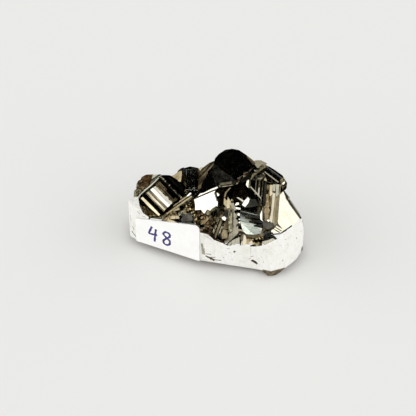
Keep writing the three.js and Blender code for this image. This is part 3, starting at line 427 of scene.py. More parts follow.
# One crystal: a point on its first facet, how far its drawn outline is carried forward and back from
# there, the (turn, rise, out) of each facet, and the outline as (right, up). A facet turns from the
# front towards the right and rises above the level, in degrees, and lies out from the point.
# sides: the finishes of its walls, one after another. flight: its growth ledges.
def one_crystal(at, depth, facets, outline, finish=BRIGHT, **more):
    return dict(at=at, depth=depth, facets=facets, outline=outline, finish=finish, **more)


# A flight of growth ledges on a facet: the turn of its lines, where it starts, its steps as
# (slope, width) and a finish of their own, and the width and unevenness of the ledges in them
def ledges(facet, run, start, steps, fine=LEDGE_WIDTH, wander=LEDGE_UNEVENNESS):
    return dict(facet=facet, run=run, start=start, steps=steps, fine=fine, wander=wander)


# Where a crystal, its ledges or its walls take the dark brown or the near-black finish, that is painted shade
# and painted dark reflection
CRYSTALS = {
    "left_barrel": one_crystal((-18.3, -1.2, 18.6), 15, [(-53, 66, 2.3), (175, 36, 7.6), (130, 32, 8)], [
        (-25.7, 13.1), (-24.5, 14.9), (-21.6, 16.9), (-18.9, 19.7), (-17.6, 20.5), (-15, 20.4),
        (-12.7, 19), (-10.7, 16.4), (-10.2, 14.4), (-11.1, 13.1), (-14, 11.3), (-16.3, 9.2), (-18.3, 6.7),
        (-21.6, 6.4), (-23.6, 7.5), (-25, 10.2),
    ], flight=ledges((0, 55, 0), -46, -11.1, [
        (20, 2.9, BLACK_PAINTED_SHADE), (-38, 2.3, BLACK_PAINTED_SHADE), (20, 1.5, BLACK_PAINTED_SHADE), (12.6, 0.5, OLIVE), (-38, 1.8, BLACK_PAINTED_SHADE),
        (11, 0.8, BRONZE), (12, 0.8, BRONZE), (8, 0.4, OLIVE), (-11, 1.1), (1, 1), (9, 0.5, BRONZE),
        (11, 0.5), (-9, 0.6, BRASSY), (12, 0.5, BRONZE), (22, 1.1, BLACK_PAINTED_SHADE), (35, 0.5, BLACK_PAINTED_SHADE), (44, 0.9),
        (44, 0.5, GOLD), (44, 0.6, BRONZE), (36, 0.6, BRONZE), (24, 0.6), (36, 0.5, BRONZE), (44, 4.5),
    ], 0.35, 1.2)),
    "barrel_end": one_crystal((-15, -3.5, 15.4), 10, [(-53, 63, 0), (14, 39, 0.4)], [
        (-11.1, 13), (-9.4, 13.1), (-9.7, 11.8), (-13, 9.5), (-15.3, 7.9), (-17.3, 5.9), (-19.3, 5.9),
        (-18.3, 6.9), (-16.3, 9.2), (-14, 11.3),
    ], BRASSY),
    "left_end_crystal": one_crystal((-26.7, -4.3, 17.3), 8, [(-20, 50, 0), (-150, 30, 2.3)], [
        (-29, 9.8), (-28.9, 11.8), (-28.1, 12.4), (-26.9, 13.2), (-25.4, 13.1), (-24.9, 10.2),
        (-23.8, 7.9), (-21.8, 6.4), (-22.5, 5.2), (-25.8, 6.9), (-27.7, 8.8),
    ], GROUND),
    "rust_crystal": one_crystal((-22.8, 6, 19.6), 12, [(-50, 60, 0), (-75, 40, 0.8), (-165, 38, 2)], [
        (-25.2, 18.5), (-24.8, 19.8), (-23.2, 20.7), (-20.8, 20.7), (-20.7, 19.5), (-21.7, 17.5),
        (-23.2, 15.5), (-24.5, 15.5),
    ], RUST),
    "old_crystal": one_crystal((-25.1, 4.4, 18.7), 12, [(-56, 62, 0), (-85, 30, 0.7), (-140, 36, 1.8)], [
        (-26.4, 15.5), (-26.4, 17.5), (-25.8, 18.6), (-24.5, 19.3), (-23.8, 17.5), (-22.1, 16.8),
        (-23.5, 15.2), (-25.5, 14.8),
    ], BROWN),
    "left_small": one_crystal((-26, 1.2, 17.9), 10, [(-52, 60, 0), (-80, 34, 0.3), (-150, 36, 1.5)], [
        (-27.2, 13.3), (-27, 15.5), (-26, 16.1), (-24.7, 15.5), (-24.3, 14.5), (-26, 12.8),
    ], OLIVE),
    "green_blocks": one_crystal((-20.1, 5.6, 20.7), 12, [(8, 35, 0), (-60, 66, 0.3), (178, 38, 1.3)], [
        (-22.1, 16.8), (-21.4, 18.5), (-20.9, 20.6), (-18.1, 20.7), (-17.5, 19.8), (-21.1, 15.8),
    ], GREEN),
    "sliver_crystal": one_crystal((-12.8, 7.3, 21.1), 10, [
        (-52, 62, 0), (-48, 66, 0.1), (-165, 38, 0.8),
    ], [
        (-15.8, 19.7), (-14.5, 20), (-12.8, 21.3), (-11.2, 22.5), (-11.2, 20.8), (-11.5, 18.2),
        (-13.2, 18.2),
    ], BRASSY),
    "middle_back_crystal": one_crystal((-8.5, 6, 20.4), 14, [
        (16, 85, 2.1), (180, 40, 4.2), (-120, 28, 3.7),
    ], [
        (-11.8, 19.5), (-11.5, 21.1), (-10.5, 22.8), (-8.5, 23.4), (-5.8, 22.9), (-5, 21.8), (-5, 16.2),
        (-7.2, 15.5), (-9.2, 15.5), (-10.5, 17.2),
    ], GREEN, flight=ledges((0, 36, 0), 90, -3.7, [
        (-31, 1.2), (-24, 0.6), (-33, 0.3), (-20, 0.6), (-31, 0.3), (-12, 0.8), (10, 0.3), (30, 0.6),
        (8, 0.5), (-8, 0.7), (29, 0.6), (10, 0.3), (31, 0.4), (20, 0.9),
    ])),
    "tall_edge": one_crystal((-3.2, 5.4, 23), 14, [(-52, 62, 0), (-160, 36, 3.4)], [
        (-5.8, 15.5), (-5.5, 21.4), (-4.5, 22.7), (-3.2, 23.7), (-1.8, 24.7), (-0.2, 26), (0.1, 24.4),
        (-1.5, 22.7), (-2.8, 20.7), (-4.5, 18.4), (-4.8, 16.1),
    ], BROWN_PAINTED_SHADE, flight=ledges((-53, 63, 0), 96, -6.2, [
        (-12, 4.2), (-7, 0.8), (-14, 1), (4, 0.7), (12, 0.7), (3, 3.7),
    ])),
    "tall_side": one_crystal((-1.5, 4, 21.6), 14, [(-8, 33, 0), (-50, 42, 1)], [
        (-4.8, 15.8), (-4.8, 18.4), (-3.8, 20.2), (-2.5, 21.7), (-1.2, 23.2), (0.1, 24.7), (0.8, 22.1),
        (1.1, 16.1), (-1.2, 15.5),
    ]),
    "tall_crystal": one_crystal((4.1, 3.7, 23.1), 17, [
        (8, 34, 0), (1, 27, -0.1), (172, 40, 8.9), (-140, 30, 7.4), (125, 32, 9.4),
    ], [
        (-0.9, 20), (-0.7, 23.7), (-0.2, 25.8), (1.1, 27.3), (3.1, 28.6), (5.4, 29), (7.7, 28.6),
        (10, 27.1), (12.3, 25.2), (12.8, 23.3), (11.3, 21.4), (9, 19.7), (7.4, 18.9), (6.4, 17.1),
        (4.1, 16.3), (0.8, 16.1),
    ], PEWTER),
    "tall_rim": one_crystal((11, 7, 28), 10, [(-53, 63, 0), (140, 36, 0.5)], [
        (9, 27.8), (10.3, 26.9), (12.3, 25.2), (13, 24), (12.3, 23.8), (11, 25.6),
    ], BROWN_PAINTED_SHADE),
    "ridge_left": one_crystal((13.4, -3.9, 23.3), 14, [], [
        (10.8, 16), (10.8, 18.3), (12.1, 19.1), (15, 18.6), (16.5, 18.1), (16.3, 15.3), (16.2, 12.1),
        (15.7, 10.1), (15, 10.1), (14, 12.7),
    ], sides=[BROWN_PAINTED_SHADE] * 4 + [PALE] * 3 + [BROWN_PAINTED_SHADE] * 3, flight=ledges((-60, 58, 0), 139, -5.4, [
        (28, 1.3, BLACK_PAINTED_SHADE), (15, 0.5, BROWN), (-60.6, 0.8), (28, 1.1, BLACK_PAINTED_SHADE), (-60.6, 1), (15.5, 0.3),
        (-60.6, 0.8), (27, 0.7, BLACK_PAINTED_SHADE), (-60.6, 0.6), (12, 0.5), (-60.6, 0.4), (27, 0.7, BLACK_PAINTED_SHADE),
        (-60.6, 0.8), (15.5, 0.2, OLIVE), (-60.6, 0.6), (27, 0.5, BLACK_PAINTED_SHADE), (-60.6, 0.6), (12, 1.3, BLACK_PAINTED_SHADE),
    ], 0.6, 1)),
    "ridge_crystal": one_crystal((18.1, -8.7, 21), 16, [], [
        (16, 18.1), (18.1, 17.6), (21.4, 17.1), (21, 15), (20.6, 12.1), (20.2, 8.5), (19.8, 5),
        (18.5, 3.4), (17.7, 2.9), (15.6, 4.2), (14.9, 7.2), (15.1, 10.1), (15.9, 12.1),
    ], flight=ledges((-60, 58, 0), 138, -5.3, [
        (27, 1.6), (12, 0.5, BRASSY), (15.2, 0.5), (-60.2, 0.5), (27, 0.5), (-60.2, 0.5),
        (11, 0.8, BRASSY), (5, 0.8), (9, 0.8), (10, 0.7, BRASSY), (-60.2, 0.4), (13, 0.8, BRASSY),
        (15, 1.6),
    ], 0.5, 1)),
    "ridge_top": one_crystal((17.8, 2.2, 25.1), 16, [(95, 40, 2.3), (172, 40, 4.1), (110, 30, 3.4)], [
        (10.9, 18.7), (11.9, 21.3), (13.9, 22.8), (15.8, 24.2), (17.8, 23.3), (19.4, 22.3), (22.1, 20.3),
        (23.4, 17.7), (23.2, 16), (22.1, 15.1), (21.6, 17), (18.5, 17.5), (15.2, 18.5),
    ], sides=[PALE], flight=ledges((40, 78, 0), -82, -7.6, [
        (-12, 4.6, BLACK_PAINTED_SHADE), (-28, 0.9, BLACK_PAINTED_SHADE), (4, 0.9, OLIVE), (-14, 1.1, BLACK_PAINTED_SHADE), (-28, 1, BRASSY),
        (-10, 0.8, BLACK_PAINTED_SHADE), (8, 0.8, OLIVE), (-27, 0.9), (8, 3.3, BLACK_PAINTED_SHADE),
    ], 0.5, 1.5)),
    "ridge_olive": one_crystal((14.5, 3.7, 26.4), 8, [(-53, 63, 0)], [
        (12.7, 21), (13.6, 22.3), (15.9, 24.1), (17.2, 23.1), (15.5, 22.3), (13.9, 21),
    ], OLIVE),
    "ridge_block": one_crystal((14.4, -0.1, 26.1), 8, [(12, 40, 0), (-53, 63, 0.9)], [
        (11.3, 18.8), (12.1, 20.9), (13.8, 21.4), (15.7, 20.6), (15.7, 18.9), (13.4, 18.6),
    ], OLIVE),
    "ridge_cross": one_crystal((17.1, 0.3, 25.4), 8, [(40, 78, 0), (-53, 63, 0.5)], [
        (15.1, 20.8), (15.8, 21.1), (18.7, 19), (20, 17.5), (17.7, 17.7), (15.8, 18.5),
    ], BRASSY, sides=[PALE]),
    "ridge_tip": one_crystal((22.2, -2.8, 24.5), 8, [(-53, 63, 0), (20, 40, 0.4)], [
        (20.9, 18.6), (22.2, 19.6), (23.2, 17.6), (23, 16), (21.8, 15), (21.4, 16.6),
    ], OLIVE),
    "ridge_glint": one_crystal((22, -2.7, 25.2), 6, [(0, 55, 0)], [
        (21.5, 17.3), (21.9, 17.9), (22.5, 18.1), (22.4, 17.5), (21.9, 17),
    ]),
    "behind_ridge": one_crystal((14.1, 8.4, 24), 12, [(-50, 62, 0), (175, 38, 1.9)], [
        (11.5, 20.8), (12.1, 25), (13.4, 25.4), (15.1, 25.4), (17.1, 24.3), (16.1, 22.8), (14.1, 20.8),
    ], PEWTER),
    "right_end_crystal": one_crystal((23.5, -7.5, 18.7), 20, [(52, 57, 0)], [
        (21, 15), (21.7, 15.5), (22.5, 15), (23.8, 12.3), (25.4, 9.8), (27.1, 7.4), (28, 5.9),
        (26.7, 4.3), (24.1, 2.5), (22.5, 1.4), (19.6, -0.2), (17.8, 1.9), (18.9, 3.7), (20, 6.3),
        (20.4, 9.5),
    ]),
    "right_corner": one_crystal((19.2, -16.7, 17.6), 8, [], [
        (17.5, 2.5), (18.2, 3.6), (19.7, 4.9), (21.4, 2.8), (20.8, 1.8), (19.2, 0.7), (17.9, 0.9),
    ], flight=ledges((52, 57, 0), -68, -3.7, [
        (-9, 2.4), (-2, 0.6), (9, 0.4, BRASSY), (-3, 0.5), (9, 0.4, GOLD), (0, 2.3),
    ], wander=1)),
    "right_edge": one_crystal((25, -3.7, 17.7), 14, [(70, 20, 0), (20, 60, 2.5), (125, 34, 0.3)], [
        (21.9, 15.6), (22.9, 15.4), (24.1, 12.8), (26.2, 10), (28.1, 7.5), (28.5, 5.2), (27.5, 6.2),
        (25.5, 9.3), (23.6, 12.3),
    ], PEWTER),
    "striped_crystal": one_crystal((11.8, -9.7, 17.2), 14, [(-9, 60, 0)], [
        (7.9, 5), (7.9, 7.9), (8.4, 9.8), (9.3, 11.1), (10.8, 13.1), (12.4, 13.7), (14, 13.1), (15, 11.8),
        (15, 8.2), (14.7, 5.6), (15.8, 4), (16, 2.4), (15.3, 0.9), (13.1, 0.3), (10.5, 0.6), (8.8, 2),
    ], GREEN, flight=ledges((0, 62, 0), -15, -10.5, [
        (-22, 4.5), (-10, 0.4), (-20, 1.3), (-6, 0.4), (-16, 1.6), (-9, 0.3), (-15, 1.3), (-5.4, 0.4),
        (-10, 0.9), (-6, 0.5), (-5.2, 0.7), (-5.4, 0.7), (-4, 0.7), (-2.7, 0.9), (-3, 0.9), (-3.6, 0.7),
        (-4.8, 0.7), (-5.4, 2.4),
    ], 0.5, 0.7)),
    "upper_glint": one_crystal((14.9, -7.9, 21.1), 6, [(52, 57, 0)], [
        (14.5, 12.6), (15.1, 12.2), (15.6, 11.1), (15.9, 9.8), (15.3, 10), (14.8, 11.3),
    ]),
    "side_glint": one_crystal((14.6, -10.6, 18.3), 6, [(0, 55, 0)], [
        (15, 9), (15.3, 7.9), (15.1, 6.3), (15.4, 5.1), (14.4, 5.8), (14.3, 7.4),
    ]),
    "long_side": one_crystal((3.3, -10.5, 15.2), 12, [(-48, 60, 0), (-20, 44, 0.5)], [
        (2.7, 9.5), (4.3, 11.1), (5.1, 10.1), (5.1, 6.3), (4.6, 2.4), (3.7, -1.5), (1.7, -2), (1.4, -0.6),
        (2.2, 2), (3.2, 5.3), (3.3, 7.9),
    ], BRONZE),
    "long_front": one_crystal((5.6, -10.5, 16.1), 12, [], [
        (4.3, 11.1), (5.8, 11.3), (6.7, 9.2), (6.9, 7.2), (7.2, 4), (7.2, 1.4), (5.9, 0.1), (3.3, -2.2),
        (2.7, -1.5), (4.5, 2), (5, 6.3), (5, 9.8),
    ], sides=[PALE], flight=ledges((-30, 60, 0), 113, -2.6, [
        (-10, 1.8), (-14, 0.3), (-8, 0.4), (-16, 0.2), (-11, 0.7), (-15, 0.3), (-8, 1),
    ])),
    "teeth": one_crystal((7.4, -9.8, 16.4), 10, [], [
        (6.1, 10.8), (8.2, 10.8), (8, 7.9), (8.2, 5), (8.9, 2), (7.9, 0.3), (5.6, -0.2), (6.9, 2.4),
        (6.9, 6.3),
    ], sides=[PALE], flight=ledges((0, 55, 0), -10, -6.6, [
        (-20, 2.4), (-38, 0.8), (-4, 0.7), (-22, 1.4, BLACK_PAINTED_SHADE), (2, 0.7, OLIVE), (-18, 1.3, BLACK_PAINTED_SHADE),
        (6, 0.4), (22, 1.4, BROWN), (4, 0.4, OLIVE), (24, 1.2, BLACK_PAINTED_SHADE), (9, 0.6, BRASSY), (28, 3),
    ], wander=1)),
    "mirror_crystal": one_crystal((-3.2, -1.8, 17.3), 12, [], [
        (-7.1, 12.5), (-6.1, 13.1), (-5.1, 14.3), (-3.8, 14.6), (-1.5, 15.8), (0.6, 16.6), (1.1, 16.1),
        (0, 15.1), (0.2, 13.4), (0.8, 11.8), (0.6, 9.8), (-0.9, 9.2), (-2, 8.2), (-2.5, 6.5), (-3.8, 7.2),
        (-5, 8.7), (-6.9, 8.2), (-6.7, 10.2),
    ], flight=ledges((0, 55, 0), 24, -6.9, [
        (-4, 4.6), (-34, 0.7), (1, 8.5),
    ])),
    "inner_brown": one_crystal((-5.4, -7.6, 14.9), 10, [(-20, 42, 0), (-50, 60, 0.2)], [
        (-7.7, 8.5), (-6.7, 8.8), (-4.8, 9), (-3.8, 7.5), (-3.2, 6.2), (-3.8, 4.3), (-5.8, 3.9),
        (-7.4, 5.3),
    ], BROWN),
    "gold_middle": one_crystal((-4.1, -9, 14.4), 8, [(0, 55, 0), (-53, 63, 0)], [
        (-5.8, 4.6), (-4.5, 6.4), (-2.8, 6.9), (-2.2, 5.9), (-3.5, 4.3), (-5.1, 3.6),
    ], BRONZE),
    "brown_crystal": one_crystal((-2.2, -10.8, 13.8), 10, [(-51, 61, 0), (20, 40, 0.5)], [
        (-4.1, 4), (-2.8, 6.2), (-1.5, 7.2), (-0.5, 6.2), (-0.2, 4.9), (-0.9, 2), (-1.5, 0.7),
        (-3.2, 2.7),
    ], BROWN),
    "dark_corner": one_crystal((-3.5, -10.9, 12.6), 10, [(8, 35, 0)], [
        (-5.4, 4), (-4.1, 4.3), (-2.5, 2.7), (-1.2, 0.7), (-2.8, 0.4), (-4.8, 1.4),
    ]),
    "round_crystal": one_crystal((-0.5, -6.2, 15.9), 10, [(8, 36, 0), (-50, 60, 0.4), (10, 75, 0.7)], [
        (-2.2, 8.2), (-1.2, 9.3), (0.1, 10.2), (1.1, 9.8), (1.4, 7.9), (0.8, 6.2), (-0.9, 5.6),
        (-2.2, 6.6),
    ], OLIVE),
    "upright_dark": one_crystal((1.8, -2.8, 17.8), 12, [(2, 38, 0), (-40, 44, 0.5)], [
        (0, 15.4), (1.1, 16.4), (4.1, 16.6), (4.1, 14.8), (3.4, 13.1), (2.4, 10.8), (3.4, 8.8),
        (3.7, 6.2), (2.1, 5.7), (0.5, 7.9), (0.9, 11.1), (0.1, 13.8),
    ], BROWN_PAINTED_SHADE),
    "upright_glint": one_crystal((0.6, -1.5, 19.9), 5, [(0, 55, 0)], [
        (0, 14.7), (0.8, 14.4), (1.3, 13.8), (0.8, 13.3), (0.3, 13.6),
    ]),
    "upright_crystal": one_crystal((3.7, -4.3, 18.5), 10, [(-50, 62, 0), (48, 58, 0.1)], [
        (3.1, 14.2), (3.7, 13.7), (5, 11.6), (5, 9.8), (3.9, 9.3), (2.6, 10.8), (2.7, 12.4),
    ], BRASSY),
    "box_crystal": one_crystal((1.1, -11.9, 13.9), 10, [(-50, 55, 0)], [
        (-1.5, 1.4), (-0.7, 4), (0.1, 5.9), (1.2, 6.7), (3.3, 6.7), (3.5, 5.6), (2.4, 2), (1.2, -1.2),
        (-0.2, -0.9),
    ], OLIVE, flight=ledges((-25, 52, 0), 88, -4.2, [
        (-18, 2.3), (3, 0.7), (-14, 0.6), (5, 0.3), (-20, 0.8), (6, 0.4), (-12, 0.6), (2, 2),
    ])),
    "box_glint": one_crystal((2.4, -10.2, 16.8), 6, [(0, 55, 0)], [
        (1.9, 6.5), (2.8, 6.8), (3.5, 6.2), (3, 5.3), (2.2, 5.8),
    ]),
    "foot_block": one_crystal((0.9, -14.9, 12.4), 8, [(0, 36, 0), (17, 47, 0.1)], [
        (-0.1, -0.5), (0.4, 0.8), (1.4, 1.3), (2, 0.4), (2, -1.2), (1.1, -1.7),
    ]),
    "rim_ledge": one_crystal((4.9, -16.6, 10.9), 12, [(-50, 62, 0)], [
        (2.5, -2.8), (4, -1), (6.2, -0.4), (7.2, 0.5), (7.7, -0.5), (7.8, -2.8), (4, -3.4),
    ]),
    "rim_ledge_right": one_crystal((9.4, -17.2, 11.7), 12, [(-50, 62, 0)], [
        (7.5, -2.7), (7.3, -0.5), (7, 0.6), (9.1, 1), (11.4, 0.2), (12, -2.1), (9.7, -3.4),
    ]),
    "rim_crystal": one_crystal((13.2, -17.6, 13.7), 10, [(40, 62, 0), (-30, 44, -0.9)], [
        (11, -2), (11.4, -0.6), (12.9, 0), (13.9, 0.4), (15.5, 0.2), (16.1, -1.4), (13.5, -2.7),
    ], GOLD),
    "rim_blocks": one_crystal((17, -17.4, 15.3), 12, [(-6, 40, 0), (30, 72, 0.7)], [
        (15.1, -0.1), (15.7, 1.8), (17.7, 2.3), (18.3, 1.2), (19.6, 0.7), (18.6, -1.1), (15.4, -2.3),
    ], GREEN),
    "brown_tip": one_crystal((16.5, -13.8, 15.6), 10, [(-52, 60, 0), (10, 42, 0.2)], [
        (14.6, 4.3), (15.5, 4.3), (17.5, 2.9), (18.1, 2.1), (16.8, 1.3), (15.2, 1.4),
    ], BROWN),
    "hollow_crystal": one_crystal((8.1, 3.1, 17.6), 8, [(20, 40, 0), (-40, 44, 1.3)], [
        (3.8, 15.8), (5.8, 16.6), (7.5, 18.1), (9.8, 18.5), (11.5, 16.8), (12.8, 14.8), (11.1, 12.8),
        (8.1, 12.2), (5.5, 11.2), (3.8, 13.2),
    ], BROWN_PAINTED_SHADE),
    "hollow_glint": one_crystal((9.6, -4.6, 18.8), 6, [(0, 55, 0)], [
        (8.6, 10.5), (9.3, 11.8), (10.6, 13.1), (11.1, 12.4), (10.7, 11.1), (9.6, 9.8),
    ]),
    "hollow_spark": one_crystal((7.1, -5.3, 18.3), 5, [(0, 55, 0)], [
        (6.3, 10.5), (6.8, 11.3), (7.6, 11.3), (7.6, 10.3), (7, 9.9),
    ]),
    "hollow_line": one_crystal((8, -3.6, 19), 9, [(52, 57, 0)], [
        (6.8, 12.9), (7.3, 13.1), (9.3, 11.9), (8.9, 11.3),
    ]),
    "ridge_end": one_crystal((10.8, 1.7, 21.3), 8, [(0, 55, 0)], [
        (10, 17.1), (10.3, 18.4), (11.2, 19), (11.5, 18.4), (11.4, 16.1), (10.6, 16.2),
    ]),
    "saddle_crystal": one_crystal((8.4, 2.6, 21.8), 8, [(20, 42, 0)], [
        (6.6, 16.8), (7.2, 19.1), (9, 20.2), (10.4, 21.2), (12, 21), (11.3, 19.1), (10, 18.1), (8, 17.1),
    ], BLACK_PAINTED_SHADE),
    "saddle_bit": one_crystal((7.4, 2, 22.3), 6, [(-53, 63, 0)], [
        (6.6, 17.2), (7.2, 19.2), (8.4, 19.7), (8, 18.7), (7.4, 17.4),
    ], BROWN),
    "saddle_edge": one_crystal((10, 3.4, 23.9), 6, [(-53, 63, 0)], [
        (9, 19.5), (9.3, 20.8), (10.7, 21.3), (10.8, 20.6), (10, 20),
    ], BROWN),
    "gap_blocks": one_crystal((-8.1, 0.5, 18), 8, [(0, 40, 0), (10, 80, 0.9)], [
        (-10.4, 12.8), (-10.1, 15.4), (-8.4, 16.1), (-5.1, 15.6), (-4.8, 14.3), (-6.5, 12.8),
        (-6.8, 11.2), (-9.1, 11.5),
    ]),
    "gap_spark": one_crystal((-9.8, 0.5, 18.9), 5, [(45, 60, 0)], [
        (-10.2, 15.3), (-9.4, 15.4), (-9.3, 14.3), (-9.9, 14.1),
    ], GOLD),
    "gap_glint": one_crystal((-8.9, -0.6, 18.5), 5, [(0, 55, 0)], [
        (-9.9, 13.1), (-8.4, 14.6), (-7.9, 14.3), (-9.4, 12.9),
    ]),
    "hollow_ledge": one_crystal((-12.3, -3.3, 17.3), 10, [], [
        (-17.4, 6.7), (-16.3, 8.8), (-14, 11.1), (-10.7, 13.1), (-8.1, 13.6), (-7.1, 12.5), (-8.4, 11.1),
        (-11.4, 10.2), (-13.7, 8.8), (-15.6, 6.9),
    ], BRASSY, flight=ledges((-51, 62, 0), 76, -3.3, [
        (3, 1.8), (-14, 0.7, OLIVE), (2, 0.5), (-14, 0.7), (4, 0.6), (-12, 1.8, OLIVE),
    ], wander=1)),
    "ledge_cream": one_crystal((-9, -4.3, 17.5), 6, [(0, 55, 0), (-50, 60, 0.2)], [
        (-10.7, 10.2), (-9.7, 11), (-8.4, 10.8), (-8.2, 10), (-9.5, 9.5),
    ], GOLD),
    "ledge_block": one_crystal((-12.3, -6, 16.2), 8, [(-30, 46, 0), (-51, 62, 0.1), (30, 76, 0.4)], [
        (-14.6, 7.2), (-13.9, 8.7), (-12, 9.7), (-10.4, 9.3), (-10.7, 7.9), (-12.6, 6.9),
    ], BRASSY),
    "brown_wall": one_crystal((-7.4, -4.8, 16.4), 10, [(-30, 46, 0)], [
        (-8.7, 12.4), (-7.1, 12.6), (-6.7, 10.2), (-6.8, 8.2), (-7.7, 7.9), (-8.6, 9.8),
    ], BROWN),
    "gold_lumps": one_crystal((-9.4, -6.1, 16.7), 8, [(-50, 60, 0), (-14, 52, 0.1), (50, 58, 0.9)], [
        (-11, 8.2), (-10.5, 9.5), (-9, 9.9), (-7.6, 9.2), (-7.4, 7.9), (-9, 7.5), (-10.3, 7.5),
    ], GOLD),
    "lump_edge": one_crystal((-11.3, -6.9, 16.1), 6, [(10, 50, 0), (-53, 63, 0.2)], [
        (-12.5, 6.9), (-12, 8.2), (-10.8, 8.7), (-10, 8.2), (-10.5, 7),
    ], OLIVE),
    "dark_front": one_crystal((-9.3, -8.9, 15.6), 10, [(0, 38, 0), (20, 74, 0.7)], [
        (-12.1, 5.6), (-11, 7.2), (-8.7, 7.7), (-7.1, 7.1), (-6.4, 5.3), (-6.7, 3.3), (-11.6, 3.3),
    ], GREEN),
    "gold_strip": one_crystal((-7.1, -8.1, 16.2), 10, [(-50, 60, 0)], [
        (-8, 9), (-7.1, 8.8), (-6.1, 6.2), (-5.8, 4.3), (-6.7, 4.3), (-7.4, 6.9),
    ], GOLD),
    "pale_strips": one_crystal((-14.6, -8.8, 15.1), 8, [(46, 60, 0), (-50, 60, 0.6)], [
        (-17.5, 4.8), (-16.5, 5.8), (-14.2, 6.6), (-12.6, 6.4), (-11.6, 4.9), (-12, 3.3), (-18.1, 3.3),
    ], BRASSY),
    "brown_front": one_crystal((-14.3, -7.3, 15.6), 8, [(-30, 46, 0), (-52, 62, 0), (10, 78, 0.6)], [
        (-18.2, 5.3), (-16.5, 7), (-14.6, 8.4), (-13.3, 8.4), (-12.6, 6.9), (-14.6, 5.9), (-17.2, 4.6),
    ], GOLD),
    "front_strip": one_crystal((-18.1, -8.9, 14.9), 8, [(-51, 62, 0)], [
        (-22.1, 5.3), (-21.4, 6.2), (-18.1, 6.6), (-16.1, 7.6), (-15.9, 7.1), (-17.8, 5.3), (-18.1, 3.6),
        (-22.1, 3.6),
    ], OLIVE),
}

# Fine crystals stand less than about a millimetre proud: thin scales, shades and glints on a face,
# lines and seams along an edge. Those in the near-black or dark brown finish, the shades and the dark
# lines, faces, gaps and teeth, are painted shade laid over a face or an edge. Most have one facet, which
# mirrors the top light, the left light, the right light or the dark between them.
FINE_DEPTH = 2
TO_TOP_LIGHT = (0, 55)
TO_LEFT_LIGHT = (-53, 63)
TO_RIGHT_LIGHT = (52, 57)
TO_DARK = (8, 35)


# One fine crystal
def fine_crystal(at, outline, finish=BRIGHT, looks=TO_TOP_LIGHT, **more):
    return one_crystal(at, FINE_DEPTH, [(*looks, 0)], outline, finish, **more)


